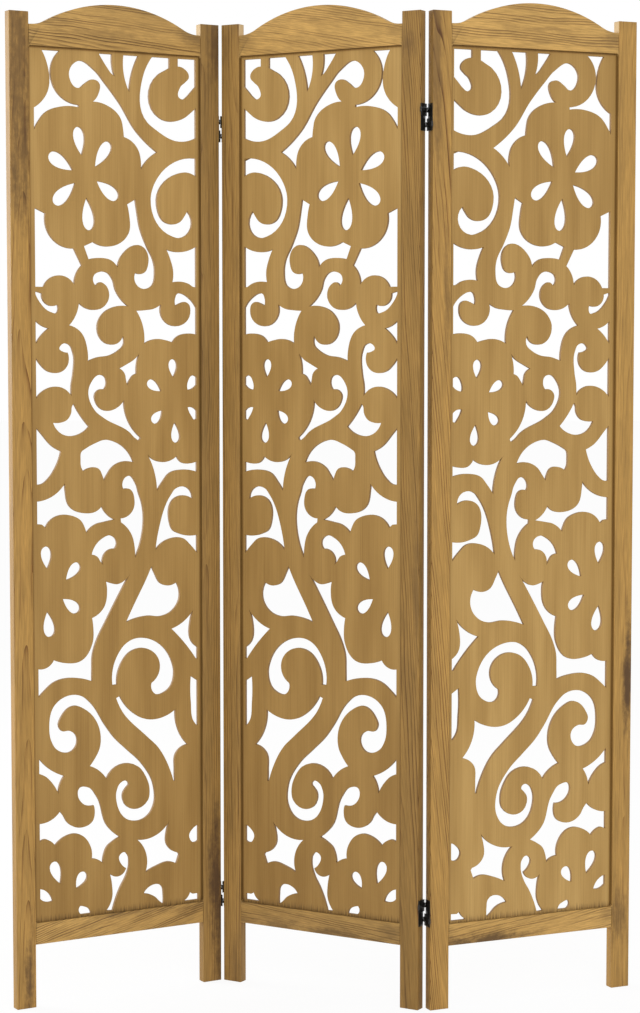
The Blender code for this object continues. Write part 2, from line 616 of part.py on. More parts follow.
def add_axis(name, parent, place, turn):
    axis = bpy.data.objects.new(name, None)
    bpy.context.scene.collection.objects.link(axis)
    axis.parent = parent
    axis.location = place
    axis.rotation_euler.z = turn
    return axis


def add_bodies():
    """An empty for each panel, the outer ones on their fold axes. A seat is the place of
    a panel's own origin, on the floor in its middle, seen from its empty."""
    middle = add_axis("middle_panel_axis", None, (0, 0, 0), MIDDLE_TURN)
    front_pins = Vector((-PANEL_PITCH / 2, -PIN_OFFSET, 0))
    back_pins = Vector((PANEL_PITCH / 2, PIN_OFFSET, 0))
    left = add_axis("left_fold_axis", middle, front_pins, LEFT_FOLD)
    right = add_axis("right_fold_axis", middle, back_pins, RIGHT_FOLD)
    return {
        "left": {"axis": left, "seat": Vector((-PANEL_PITCH / 2, PIN_OFFSET, 0))},
        "middle": {"axis": middle, "seat": Vector((0, 0, 0))},
        "right": {"axis": right, "seat": Vector((PANEL_PITCH / 2, -PIN_OFFSET, 0))},
    }


def centre_on_floor(bodies):
    """Moves the screen so that the middle of its box is over the origin."""
    bpy.context.view_layer.update()
    graph = bpy.context.evaluated_depsgraph_get()
    corners = []
    for piece in bpy.context.scene.objects:
        if piece.type == "EMPTY" or piece.hide_render:
            continue
        evaluated = piece.evaluated_get(graph)
        mesh = evaluated.to_mesh()
        corners += [evaluated.matrix_world @ vertex.co for vertex in mesh.vertices]
        evaluated.to_mesh_clear()
    for axis in (0, 1):
        values = [corner[axis] for corner in corners]
        bodies["middle"]["axis"].location[axis] = -(min(values) + max(values)) / 2


def main():
    start_empty()
    bodies = add_bodies()
    for panel, mirror in (("left", -1), ("middle", 1), ("right", 1)):
        body = bodies[panel]
        add_stile(panel + "_panel_left_stile", body, -1)
        add_stile(panel + "_panel_right_stile", body, 1)
        add_rails(panel + "_panel", body)
        add_fretwork(panel + "_panel_fretwork", body, mirror)
    meshes = {"leaf": leaf_mesh(), "link": link_mesh(), "pin": pin_mesh()}
    hinges = (
        ("upper_left", STILE_HEIGHT - LEFT_HINGE_DROP),
        ("lower_left", LEFT_HINGE_RISE),
        ("upper_right", STILE_HEIGHT - RIGHT_HINGE_DROP),
        ("lower_right", RIGHT_HINGE_RISE),
    )
    for name, middle in hinges:
        on_left_fold = name.endswith("left")
        left, right = ("left", "middle") if on_left_fold else ("middle", "right")
        level = middle - HINGE_HEIGHT / 2
        add_hinge(name + "_hinge", bodies[left], bodies[right], on_left_fold, level, meshes)
    centre_on_floor(bodies)


main()
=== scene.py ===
# Dresses the folding screen: frames of scorched paulownia, boards of plywood fretwork and
# small black two-way hinges, on a white studio floor. Metres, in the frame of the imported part.
import json
import math

import bmesh
import bpy
from mathutils import Matrix, Vector


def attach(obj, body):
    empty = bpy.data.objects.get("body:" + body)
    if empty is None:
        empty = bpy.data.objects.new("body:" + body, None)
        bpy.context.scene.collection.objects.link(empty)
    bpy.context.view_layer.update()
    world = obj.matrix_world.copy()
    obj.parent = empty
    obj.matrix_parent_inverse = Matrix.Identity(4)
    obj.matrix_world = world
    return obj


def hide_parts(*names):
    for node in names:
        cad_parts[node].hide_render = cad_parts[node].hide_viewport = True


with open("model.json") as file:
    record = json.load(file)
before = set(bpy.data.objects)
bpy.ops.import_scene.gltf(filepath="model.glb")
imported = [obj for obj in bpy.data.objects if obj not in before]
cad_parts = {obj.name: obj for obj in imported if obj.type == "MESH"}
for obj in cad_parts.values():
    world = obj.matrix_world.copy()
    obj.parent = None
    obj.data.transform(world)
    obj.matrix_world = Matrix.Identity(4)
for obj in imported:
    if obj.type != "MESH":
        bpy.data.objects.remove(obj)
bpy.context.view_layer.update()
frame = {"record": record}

behaviour = frame["record"]["behaviour"]
nodeBody = {node: body for body, nodes in behaviour["bodies"].items() for node in nodes}
folds = {joint["name"]: joint for joint in behaviour["joints"]}
mm = 0.001
hair = 0.01 * mm  # places that are closer than this count as one


def clearSelection():
    bpy.ops.object.select_all(action="DESELECT")


def takeUp(piece):
    clearSelection()
    piece.select_set(True)
    bpy.context.view_layer.objects.active = piece


def startEditing(piece):
    takeUp(piece)
    bpy.ops.object.mode_set(mode="EDIT")
    bpy.ops.mesh.select_mode(type="VERT")
    bpy.ops.mesh.select_all(action="SELECT")


def stopEditing():
    bpy.ops.object.mode_set(mode="OBJECT")


def bakePlace(piece):
    takeUp(piece)
    bpy.ops.object.transform_apply(location=True, rotation=True, scale=True)


def near(value, target):
    return abs(value - target) < hair


def within(low, value, high):
    return low - hair < value < high + hair


def pick(kind, wanted):
    # selects the edges or faces whose corners are where they are wanted
    bpy.ops.mesh.select_mode(type=kind)
    bpy.ops.mesh.select_all(action="DESELECT")
    mesh = bpy.context.edit_object.data
    shape = bmesh.from_edit_mesh(mesh)
    for part in shape.edges if kind == "EDGE" else shape.faces:
        if wanted([vertex.co for vertex in part.verts]):
            part.select_set(True)
    bmesh.update_edit_mesh(mesh)


def sliceAt(place, normal):
    bpy.ops.mesh.select_all(action="SELECT")
    bpy.ops.mesh.bisect(plane_co=place, plane_no=normal)


def pull(x, y, z):
    bpy.ops.mesh.extrude_region_move(TRANSFORM_OT_translate={"value": (x, y, z)})


def ease(width, steps):
    bpy.ops.mesh.bevel(offset=width, segments=steps, affect="EDGES")


def weld(distance):
    # joins what lies together, and turns the faces outwards
    bpy.ops.mesh.select_all(action="SELECT")
    bpy.ops.mesh.remove_doubles(threshold=distance)
    bpy.ops.mesh.normals_make_consistent(inside=False)


def addBlock(low, high):
    # a block of material between two corners
    clearSelection()
    low, high = Vector(low), Vector(high)
    bpy.ops.mesh.primitive_cube_add(size=1, location=(low + high) / 2)
    block = bpy.context.object
    block.scale = high - low
    bakePlace(block)
    return block


def useTool(piece, tool, operation):
    # a Boolean with another block, which is used up
    change = piece.modifiers.new(operation, "BOOLEAN")
    change.operation = operation
    change.solver = "EXACT"
    change.object = tool
    takeUp(piece)
    bpy.ops.object.modifier_apply(modifier=change.name)
    putAway(tool)


def copyPiece(piece, name):
    takeUp(piece)
    bpy.ops.object.duplicate(linked=False)
    copy = bpy.context.object
    copy.name = name
    return copy


def putAway(piece):
    bpy.data.objects.remove(piece, do_unlink=True)


def smoothShade(piece, angle=40):
    takeUp(piece)
    bpy.ops.object.shade_smooth_by_angle(angle=math.radians(angle))


def setOnPanel(piece, panel, place=(0, 0, 0), turn=0):
    # from the middle of a panel's foot to where that panel stands
    piece.matrix_world = (panelPlace[panel] @ Matrix.Translation(place)
                          @ Matrix.Rotation(turn, 4, "Z"))
    bakePlace(piece)


def standFor(piece, node, material):
    piece.data.materials.clear()
    piece.data.materials.append(material)
    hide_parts(node)
    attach(piece, nodeBody[node])


# Where the panels stand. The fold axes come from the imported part: the left panel turns on
# the front pins and the right panel on the back pins
stand = {
    "pitch": 394.4 * mm,  # from the middle of one panel to the next, laid flat
    "pinOffset": 10.0 * mm,  # pins in front of and behind the middle of the thickness
}
# The opening of each frame, on the panel, and the level where the crown starts
opening = {"half": 160 * mm, "bottom": 145 * mm, "top": 1625 * mm, "shoulder": 1660 * mm}


def findPanels():
    leftAxis = Vector(folds["left_fold"]["pos_m"])
    rightAxis = Vector(folds["right_fold"]["pos_m"])
    halfPitch, offset = stand["pitch"] / 2, stand["pinOffset"]
    reach = rightAxis - leftAxis
    turn = math.atan2(reach.y, reach.x) - math.atan2(offset, halfPitch)
    leftTurn = turn - math.radians(folds["left_fold"]["range_deg"][0])
    rightTurn = turn - math.radians(folds["right_fold"]["range_deg"][0])
    return {
        "middle": Matrix.Translation((leftAxis + rightAxis) / 2) @ Matrix.Rotation(turn, 4, "Z"),
        "left": (Matrix.Translation(leftAxis) @ Matrix.Rotation(leftTurn, 4, "Z")
                 @ Matrix.Translation((-halfPitch, offset, 0))),
        "right": (Matrix.Translation(rightAxis) @ Matrix.Rotation(rightTurn, 4, "Z")
                  @ Matrix.Translation((halfPitch, -offset, 0))),
    }


panelPlace = findPanels()
print("panels found:", ", ".join(panelPlace))


# Finishes

def hexColour(text):
    # sRGB hex to the linear values that the shader works in
    channels = [int(text[i:i + 2], 16) / 255 for i in (0, 2, 4)]
    linear = [c / 12.92 if c <= 0.04045 else ((c + 0.055) / 1.055) ** 2.4 for c in channels]
    return (*linear, 1)


def addNode(tree, kind, inputs, output=0, **settings):
    # gives back one of its outputs, or all of them where output is None
    node = tree.nodes.new("ShaderNode" + kind)
    for name, value in settings.items():
        setattr(node, name, value)
    for socket, value in inputs.items():
        if isinstance(value, bpy.types.NodeSocket):
            tree.links.new(value, node.inputs[socket])
        else:
            node.inputs[socket].default_value = value
    return node.outputs if output is None else node.outputs[output]


def startMaterial(name):
    material = bpy.data.materials.new(name)
    material.use_nodes = True
    material.node_tree.nodes.clear()
    return material, material.node_tree


def alongGrain(tree, log, length, width, detail, roughness, output="Fac"):
    # an uneven pattern that is drawn out along the log
    place = addNode(tree, "Mapping", {
        "Vector": log, "Scale": (1 / length, 1 / width, 1 / width)})
    return addNode(tree, "TexNoise", {
        "Vector": place, "Scale": 1, "Detail": detail, "Roughness": roughness}, output)


def finishWood(tree, look, colour, height):
    normal = addNode(tree, "Bump", {
        "Height": height, "Distance": look["relief"], "Strength": look["reliefShare"]})
    surface = addNode(tree, "BsdfPrincipled", {
        "Base Color": colour, "Roughness": look["roughness"], "IOR": look["ior"],
        "Specular IOR Level": look["sheen"], "Normal": normal})
    addNode(tree, "OutputMaterial", {"Surface": surface}, None)


# Patterns in the wood are given by their length along the grain, their width, their detail
# and their roughness. A range is the part of a pattern's values that is used
wood = {"ior": 1.48, "sheen": 0.3}

# Stained paulownia, scorched and brushed so that the growth rings show as dark lines. It
# gives the eye a golden ground with long flowing brown lines, a soft sheen and sooty places.
# Fibres are about 0.5 mm wide, drawn wider so that they show
frameWood = wood | {
    "bare": "DDBE8C",
    "yearRange": (0.44, 0.61), "fibreRange": (0.34, 0.66), "cloudRange": (0.36, 0.62),
    # painted shade on the edges of the opening, where the reveal lies in shadow
    "openingShade": 0.62,
    "smudges": (14 * mm, 8 * mm, 4, 0.7), "smudgeShare": 0.5, "ragged": 2.4, "sootRange": (2.8, 1.8),
    "relief": 0.10 * mm, "reliefShare": 0.6,
}
stileWood = frameWood | {
    "name": "Paulownia stile scorched and stained",
    "ground": "B88E4B", "line": "6E451C", "soot": "4E3621",
    "ringWidth": 3.0 * mm, "lineFade": 5.5, "years": (1.5, 6 * mm, 1, 0.5), "yearLeast": 0.15,
    "wander": (0.26, 40 * mm, 1.2, 0.5), "wanderReach": 6.0 * mm,
    "fibres": (45 * mm, 1.5 * mm, 3, 0.6), "fibreDepth": 0.18,
    "clouds": (0.20, 26 * mm, 5, 0.62), "cloudDepth": 0.16,
    "endFrom": 1655 * mm, "endTo": 1684 * mm, "endSoot": 0.15, "roughness": 0.55,
}
railWood = frameWood | {
    "name": "Paulownia rail scorched and stained",
    "ground": "C99F5A", "line": "57381A", "soot": "5A4226",
    "ringWidth": 3.8 * mm, "lineFade": 1.9, "years": (0.4, 9 * mm, 1, 0.5), "yearLeast": 0.10,
    "wander": (0.12, 42 * mm, 1.2, 0.5), "wanderReach": 6.0 * mm,
    "fibres": (26 * mm, 1.5 * mm, 3, 0.6), "fibreDepth": 0.19,
    "clouds": (0.10, 40 * mm, 5, 0.62), "cloudDepth": 0.14,
    "endFrom": 150 * mm, "endTo": 176 * mm, "endSoot": 0.4, "roughness": 0.52,
}


def paulownia(look):
    material, tree = startMaterial(look["name"])
    # what layGrain lays on each piece
    log, board, stainAndShade, *scorches = (
        addNode(tree, "Attribute", {}, "Vector", attribute_name=name)
        for name in ("log", "board", "stainAndShade", "scorchA", "scorchB"))
    tone, figure, inward = addNode(tree, "SeparateXYZ", {0: stainAndShade}, None)

    # growth rings round the pith, which wander along the log. At scale 1 the wave's rings lie
    # pi / 10 apart
    wander = alongGrain(tree, log, *look["wander"], "Color")
    swing = addNode(tree, "VectorMath", {0: wander, 1: (0.5, 0.5, 0.5)}, operation="SUBTRACT")
    bent = addNode(tree, "VectorMath", {
        0: swing, 1: (2 * look["wanderReach"],) * 3, 2: log}, operation="MULTIPLY_ADD")
    rings = addNode(tree, "TexWave", {
        "Vector": bent, "Scale": math.pi / 10 / look["ringWidth"], "Distortion": 0.0},
        "Fac", wave_type="RINGS", rings_direction="X", wave_profile="SAW")
    lines = addNode(tree, "Math", {0: rings, 1: look["lineFade"]}, operation="POWER")
    # some years are darker than others
    strength = addNode(tree, "MapRange", {
        "Value": alongGrain(tree, log, *look["years"]),
        "From Min": look["yearRange"][0], "From Max": look["yearRange"][1],
        "To Min": look["yearLeast"], "To Max": 1.0})
    share = addNode(tree, "Math", {0: strength, 1: figure}, operation="MULTIPLY")
    lineShare = addNode(tree, "Math", {0: lines, 1: share}, operation="MULTIPLY")
    ground = addNode(tree, "Mix", {
        0: lineShare, 6: hexColour(look["ground"]), 7: hexColour(look["line"])}, 2, data_type="RGBA")

    # fibres, and clouds where the stain took unevenly. Painted shade darkens the edges of the
    # opening, where the reveal lies in shadow, and the stain misses the sides above the rails
    fibre, cloud = (alongGrain(tree, log, *look[name]) for name in ("fibres", "clouds"))
    fibreShade = addNode(tree, "MapRange", {
        "Value": fibre, "From Min": look["fibreRange"][0], "From Max": look["fibreRange"][1],
        "To Min": 1 - look["fibreDepth"], "To Max": 1 + look["fibreDepth"]})
    cloudShade = addNode(tree, "MapRange", {
        "Value": cloud, "From Min": look["cloudRange"][0], "From Max": look["cloudRange"][1],
        "To Min": 1 - look["cloudDepth"], "To Max": 1 + look["cloudDepth"] / 3})
    # painted shade for the reveal's shadow on the edges of the opening
    inside = addNode(tree, "MapRange", {
        "Value": inward, "To Min": 1.0, "To Max": look["openingShade"]})
    shade = fibreShade
    for other in (cloudShade, tone, inside):
        shade = addNode(tree, "Math", {0: shade, 1: other}, operation="MULTIPLY")
    stained = addNode(tree, "VectorMath", {0: ground, "Scale": shade}, operation="SCALE")
    bare = addNode(tree, "MapRange", {"Value": inward, "From Min": 0.0, "From Max": -1.0})
    shaded = addNode(tree, "Mix", {
        0: bare, 6: stained, 7: hexColour(look["bare"])}, 2, data_type="RGBA")

    # soot at the ends, and in two ragged spots
    along = addNode(tree, "SeparateXYZ", {0: board})
    reach = addNode(tree, "Math", {0: along}, operation="ABSOLUTE")
    soot = addNode(tree, "MapRange", {
        "Value": reach, "From Min": look["endFrom"], "From Max": look["endTo"],
        "To Min": 0.0, "To Max": look["endSoot"]}, interpolation_type="SMOOTHSTEP")
    smudge = alongGrain(tree, log, *look["smudges"])
    mottle = addNode(tree, "Math", {
        0: smudge, 1: look["smudgeShare"], 2: cloud}, operation="MULTIPLY_ADD")
    for scorch in scorches:
        depth = addNode(tree, "SeparateXYZ", {0: scorch}, 2)
        inPlane = addNode(tree, "VectorMath", {0: scorch, 1: (1, 1, 0)}, operation="MULTIPLY")
        distance = addNode(tree, "VectorMath", {0: inPlane}, "Value", operation="LENGTH")
        ragged = addNode(tree, "Math", {
            0: mottle, 1: look["ragged"], 2: distance}, operation="MULTIPLY_ADD")
        spot = addNode(tree, "MapRange", {
            "Value": ragged, "From Min": look["sootRange"][0], "From Max": look["sootRange"][1],
            "To Min": 0.0, "To Max": depth}, interpolation_type="SMOOTHSTEP")
        soot = addNode(tree, "Math", {0: soot, 1: spot}, operation="MAXIMUM")
    colour = addNode(tree, "Mix", {
        0: soot, 6: shaded, 7: hexColour(look["soot"])}, 2, data_type="RGBA")

    # the scorched lines are brushed a little below the surface
    height = addNode(tree, "Math", {0: lineShare, 1: -1.0, 2: fibre}, operation="MULTIPLY_ADD")
    finishWood(tree, look, colour, height)
    return material


# Rotary-cut plywood veneer, stained with the frame and then cut. It gives the eye a calm
# golden ground with fine upright streaks, and dark brown sawn edges. Streaks are under a
# millimetre wide, drawn 1.5 mm wide so that they show
boardWood = wood | {
    "name": "Plywood veneer stained",
    "ground": "B79254", "streak": "8D6935", "edge": "987649", "scorch": "4A3620",
    "streaks": (0.22, 1.5 * mm, 3, 0.6), "streakRange": (0.42, 0.72), "streakShare": 0.40,
    "bands": (0.30, 34 * mm, 2, 0.5), "bandRange": (0.35, 0.65), "bandDepth": 0.10,
    # painted shadow on the board along the frame, cornerWidth wide and cornerShade dark at the frame
    "cornerWidth": 5 * mm, "cornerShade": 0.5, "fullness": 0.66,
    "flecks": (0.05, 3.0 * mm, 2, 0.5), "fleckRange": (0.3, 0.6), "fleckShare": 0.75,
    "scorchFrom": 172 * mm, "scorchTo": 143 * mm,
    "relief": 0.05 * mm, "reliefShare": 0.5, "roughness": 0.56,
}


def plywoodVeneer(look):
    material, tree = startMaterial(look["name"])
    log, board, stainAndShade = (addNode(tree, "Attribute", {}, "Vector", attribute_name=name)
                         for name in ("log", "board", "stainAndShade"))
    sawn = addNode(tree, "Attribute", {}, "Fac", attribute_name="sawn")
    tone = addNode(tree, "SeparateXYZ", {0: stainAndShade})
    height, across, _ = addNode(tree, "SeparateXYZ", {0: board}, None)

    streak = alongGrain(tree, log, *look["streaks"])
    streakShare = addNode(tree, "MapRange", {
        "Value": streak, "From Min": look["streakRange"][0], "From Max": look["streakRange"][1],
        "To Min": 0.0, "To Max": look["streakShare"]})
    ground = addNode(tree, "Mix", {
        0: streakShare, 6: hexColour(look["ground"]), 7: hexColour(look["streak"])},
        2, data_type="RGBA")
    bandShade = addNode(tree, "MapRange", {
        "Value": alongGrain(tree, log, *look["bands"]),
        "From Min": look["bandRange"][0], "From Max": look["bandRange"][1],
        "To Min": 1 - look["bandDepth"], "To Max": 1 + look["bandDepth"] / 3})
    # painted shadow along the frame, where the top rail and the stiles shade the board
    aside = addNode(tree, "Math", {0: across}, operation="ABSOLUTE")
    toSide = addNode(tree, "Math", {0: opening["half"], 1: aside}, operation="SUBTRACT")
    toTop = addNode(tree, "Math", {0: opening["top"], 1: height}, operation="SUBTRACT")
    toFrame = addNode(tree, "Math", {0: toSide, 1: toTop}, operation="MINIMUM")
    corner = addNode(tree, "MapRange", {
        "Value": toFrame, "From Min": 0.0, "From Max": look["cornerWidth"],
        "To Min": look["cornerShade"], "To Max": 1.0}, interpolation_type="SMOOTHSTEP")
    shade = bandShade
    for other in (tone, corner):
        shade = addNode(tree, "Math", {0: shade, 1: other}, operation="MULTIPLY")
    # the darker the stain and the painted shadow, the fuller the colour
    power = addNode(tree, "Math", {
        0: shade, 1: -look["fullness"], 2: 1 + look["fullness"]}, operation="MULTIPLY_ADD")
    full = addNode(tree, "Gamma", {0: ground, 1: power})
    shaded = addNode(tree, "VectorMath", {0: full, "Scale": shade}, operation="SCALE")

    # short scorched flecks that run up from the bottom rail
    low = addNode(tree, "MapRange", {
        "Value": height, "From Min": look["scorchFrom"], "From Max": look["scorchTo"]})
    fleck = addNode(tree, "Math", {
        0: low, 1: alongGrain(tree, log, *look["flecks"])}, operation="MULTIPLY")
    scorch = addNode(tree, "MapRange", {
        "Value": fleck, "From Min": look["fleckRange"][0], "From Max": look["fleckRange"][1],
        "To Min": 0.0, "To Max": look["fleckShare"]})
    face = addNode(tree, "Mix", {
        0: scorch, 6: shaded, 7: hexColour(look["scorch"])}, 2, data_type="RGBA")
    colour = addNode(tree, "Mix", {0: sawn, 6: face, 7: hexColour(look["edge"])}, 2, data_type="RGBA")
    finishWood(tree, look, colour, streak)
    return material


# Pressed steel under baked black lacquer. It gives the eye a deep black with soft grey
# highlights on the rolled edges, slightly uneven from the baking
hingeSteel = {
    "name": "Steel black lacquered", "colour": "17140F", "roughness": (0.28, 0.42),
    "unevenWidth": 2.5 * mm, "unevenRange": (0.3, 0.7),
}
# Drawn steel wire, blackened. It gives the eye a dark grey with a tighter highlight
pinSteel = hingeSteel | {
    "name": "Steel wire blackened", "colour": "242220", "roughness": (0.24, 0.34),
}


def blackSteel(look):
    material, tree = startMaterial(look["name"])
    place = addNode(tree, "TexCoord", {}, "Object")
    uneven = addNode(tree, "TexNoise", {
        "Vector": place, "Scale": 1 / look["unevenWidth"], "Detail": 2}, "Fac")
    gloss = addNode(tree, "MapRange", {
        "Value": uneven, "From Min": look["unevenRange"][0], "From Max": look["unevenRange"][1],
        "To Min": look["roughness"][0], "To Max": look["roughness"][1]})
    surface = addNode(tree, "BsdfPrincipled", {
        "Base Color": hexColour(look["colour"]), "Roughness": gloss})
    addNode(tree, "OutputMaterial", {"Surface": surface}, None)
    return material


finish = {
    "stile": paulownia(stileWood),
    "rail": paulownia(railWood),
    "board": plywoodVeneer(boardWood),
    "hinge": blackSteel(hingeSteel),
    "pin": blackSteel(pinSteel),
}
print("finishes mixed:", len(finish))

# How each timber lay in its log. pith: how far the log's heart lies across and behind the
# timber's middle. drift: how far it leans from it in each metre. sawn: where along the log
# the timber was cut. tone: how light it is at its lower or left end and at the other.
# side: how light its sides are beside its faces, painted shade where they lie in the gap
# between panels. figure: how strongly its rings show.
# spots: two scorched places, each given by how far along and across it lies, its half
# length and half width, and how dark it is
timbers = {
    "left_panel_left_stile": {
        "pith": (5, 27), "drift": (5, 16), "sawn": 0.0, "tone": (0.92, 0.92), "figure": 1.0,
        "spots": ((1640, -1, 430, 38, 0.66), (40, 7, 150, 13, 0.8))},
    "left_panel_right_stile": {
        "pith": (-22, 34), "drift": (6, 4), "sawn": 2.1, "tone": (0.69, 0.61), "figure": 1.1,
        "spots": ((140, 10, 240, 22, 0.9), (1640, 10, 80, 22, 0.7))},
    "middle_panel_left_stile": {
        "pith": (24, 30), "drift": (-10, 4), "sawn": 4.3, "tone": (0.76, 0.75), "figure": 1.5,
        "spots": ((40, 0, 90, 30, 0.3), (1650, -8, 60, 16, 0.3))},
    "middle_panel_right_stile": {
        "pith": (-75, 90), "drift": (-65, 0), "sawn": 6.2, "tone": (0.65, 0.78), "figure": 1.5,
        "spots": ((1625, -2, 34, 20, 0.45), (700, 12, 200, 10, 0.3))},
    "right_panel_left_stile": {
        "pith": (110, 130), "drift": (-100, 0), "sawn": 8.4, "tone": (1.0, 0.9), "side": 0.8,
        "figure": 1.9,
        "spots": ((1610, -12, 200, 16, 0.45), (1250, 8, 160, 10, 0.4))},
    "right_panel_right_stile": {
        "pith": (22, 44), "drift": (4, 7), "sawn": 10.7, "tone": (0.92, 0.97), "figure": 0.6,
        "spots": ((545, 11, 140, 14, 0.9), (130, 2, 90, 26, 0.55))},
    "left_panel_top_rail": {
        "pith": (-70, 30), "drift": (-60, 20), "sawn": 12.0, "tone": (0.90, 0.86), "figure": 1.05,
        "spots": ((150, -10, 50, 30, 0.5), (-20, -8, 130, 9, 0.35))},
    "middle_panel_top_rail": {
        "pith": (-80, 24), "drift": (-170, 40), "sawn": 13.3, "tone": (1.0, 1.0), "figure": 0.7,
        "spots": ((-150, 0, 30, 30, 0.3), (150, 0, 25, 30, 0.3))},
    "right_panel_top_rail": {
        "pith": (-120, 60), "drift": (-30, 0), "sawn": 14.9, "tone": (1.03, 1.0), "figure": 0.9,
        "spots": ((150, 0, 30, 30, 0.3), (20, -2, 110, 6, 0.35))},
    "left_panel_bottom_rail": {
        "pith": (84, 14), "drift": (230, 60), "sawn": 16.1, "tone": (0.92, 0.88), "figure": 1.0,
        "spots": ((120, 10, 70, 16, 0.5), (-30, 14, 120, 8, 0.5))},
    "middle_panel_bottom_rail": {
        "pith": (-52, 14), "drift": (-70, 30), "sawn": 17.8, "tone": (0.76, 0.74), "figure": 0.85,
        "spots": ((0, -17, 170, 14, 0.7), (140, 0, 30, 20, 0.4))},
    "right_panel_bottom_rail": {
        "pith": (64, 16), "drift": (110, 30), "sawn": 19.4, "tone": (0.98, 1.0), "figure": 0.85,
        "spots": ((-90, -17, 120, 15, 0.9), (150, 4, 24, 20, 0.4))},
    "left_panel_fretwork": {
        "pith": (0, 0), "drift": (3, 0), "sawn": 21.0, "tone": (0.87, 1.02)},
    "middle_panel_fretwork": {
        "pith": (0, 0), "drift": (-2, 0), "sawn": 24.0, "tone": (0.83, 1.05)},
    "right_panel_fretwork": {
        "pith": (0, 0), "drift": (2, 0), "sawn": 27.0, "tone": (1.05, 0.92)},
}


def facesInward(place):
    # 1 on the edges of the opening, which get painted shade for the reveal's shadow, -1 on the
    # bare inner sides of the stiles above the rails
    if abs(place.x) > opening["half"] + hair or place.z < opening["bottom"] - hair:
        return 0
    if near(abs(place.x), opening["half"]) and place.z > opening["shoulder"] - hair:
        return -1
    return int(place.z < opening["top"] + hair)


def layGrain(piece, node, axes):
    # axes: which of x, y and z run along the grain, across it and through the timber
    timber = timbers[node]
    mesh = piece.data
    names = ("board", "log", "stainAndShade", "scorchA", "scorchB")
    for name in names:
        mesh.attributes.new(name, "FLOAT_VECTOR", "POINT")
    board, log, stainAndShade, *scorches = (mesh.attributes[name].data for name in names)
    pith, drift = ([value * mm for value in timber[name]] for name in ("pith", "drift"))
    firstTone, lastTone = timber["tone"]
    corners = [[corner[axis] for corner in piece.bound_box] for axis in axes]
    low, high = min(corners[0]), max(corners[0])
    middle = [(min(values) + max(values)) / 2 for values in corners]
    halfWidth = (max(corners[1]) - min(corners[1])) / 2
    for i, vertex in enumerate(mesh.vertices):
        along, across, through = (vertex.co[axis] for axis in axes)
        run, side = along - middle[0], across - middle[1]
        onFace = abs(side) < halfWidth - hair
        tone = firstTone + (lastTone - firstTone) * (along - low) / (high - low)
        # painted shade on the sides that lie in the gap between panels
        if not onFace:
            tone *= timber.get("side", 1)
        board[i].vector = (along, across, through)
        log[i].vector = (along + timber["sawn"], side - pith[0] - drift[0] * run,
                         through - middle[2] - pith[1] - drift[1] * run)
        # the third value marks the painted reveal shade and the bare sides above the rails
        stainAndShade[i].vector = (tone, timber.get("figure", 0), facesInward(vertex.co))
        # the flame passed over the faces only
        for scorch, (far, aside, length, width, depth) in zip(scorches, timber.get("spots", ())):
            scorch[i].vector = ((along / mm - far) / length, (side / mm - aside) / width,
                                depth * onFace)


# Stiles: sawn square, planed and eased, with a groove for the board and a mortise at each
# rail
stile = {
    "panelWidth": 390 * mm, "width": 35 * mm, "thickness": 18 * mm, "height": 1680 * mm,
    "arris": 0.6 * mm, "innerArris": 1.5 * mm, "arrisSteps": 3,
    "grooveWidth": 6.6 * mm, "grooveDepth": 7.5 * mm, "mortiseDepth": 20.3 * mm,
    "lowMortise": (113.7 * mm, 137.5 * mm), "highMortise": (1632.5 * mm, 1654.3 * mm),
}


def modelStile(name, side):
    outer = side * stile["panelWidth"] / 2
    inner = outer - side * stile["width"]
    halfDepth, halfSlot = stile["thickness"] / 2, stile["grooveWidth"] / 2
    mortises = (stile["lowMortise"], stile["highMortise"])
    piece = addBlock((min(outer, inner), -halfDepth, 0), (max(outer, inner), halfDepth, stile["height"]))
    piece.name = name
    startEditing(piece)
    pick("EDGE", lambda ends: all(near(e.x, inner) for e in ends) and near(ends[0].y, ends[1].y))
    ease(stile["innerArris"], stile["arrisSteps"])
    pick("EDGE", lambda ends: near(ends[0].z, ends[1].z) or all(near(e.x, outer) for e in ends))
    ease(stile["arris"], stile["arrisSteps"])
    for y in (-halfSlot, halfSlot):
        sliceAt((0, y, 0), (0, 1, 0))
    for z in (*mortises[0], opening["bottom"], opening["top"], opening["shoulder"], *mortises[1]):
        sliceAt((0, 0, z), (0, 0, 1))

    def inSlot(corners, x, low, high):
        return all(near(c.x, x) and within(-halfSlot, c.y, halfSlot) and within(low, c.z, high)
                   for c in corners)

    pick("FACE", lambda corners: inSlot(corners, inner, mortises[0][0], mortises[1][1]))
    pull(side * stile["grooveDepth"], 0, 0)
    floor = inner + side * stile["grooveDepth"]
    pick("FACE", lambda corners: any(inSlot(corners, floor, *mortise) for mortise in mortises))
    pull(side * (stile["mortiseDepth"] - stile["grooveDepth"]), 0, 0)
    stopEditing()
    smoothShade(piece)
    return piece


for panel in panelPlace:
    for word, side in (("left", -1), ("right", 1)):
        node = f"{panel}_panel_{word}_stile"
        piece = modelStile(node + "_timber", side)
        layGrain(piece, node, (2, 0, 1))
        setOnPanel(piece, panel)
        standFor(piece, node, finish["stile"])
print("stiles sawn")

# Rails: the edges on the opening are rounded into the corners, the top rail has its crown
rail = {
    "length": 319.4 * mm, "thickness": 17 * mm, "arris": 0.9 * mm, "arrisSteps": 2,
    "footLevel": 108 * mm, "shoulderFlat": 2 * mm, "crownRise": 41 * mm, "fillet": 64 * mm,
    "cornerRadius": 4 * mm, "cornerSteps": 8, "crownSteps": 56, "filletSteps": 16,
    "tenonLength": 20.3 * mm, "tenonThickness": 6 * mm,
    "lowTenon": (114 * mm, 137.2 * mm), "highTenon": (1632.8 * mm, 1654 * mm),
    "overcut": 1 * mm, "weld": 0.02 * mm,
}


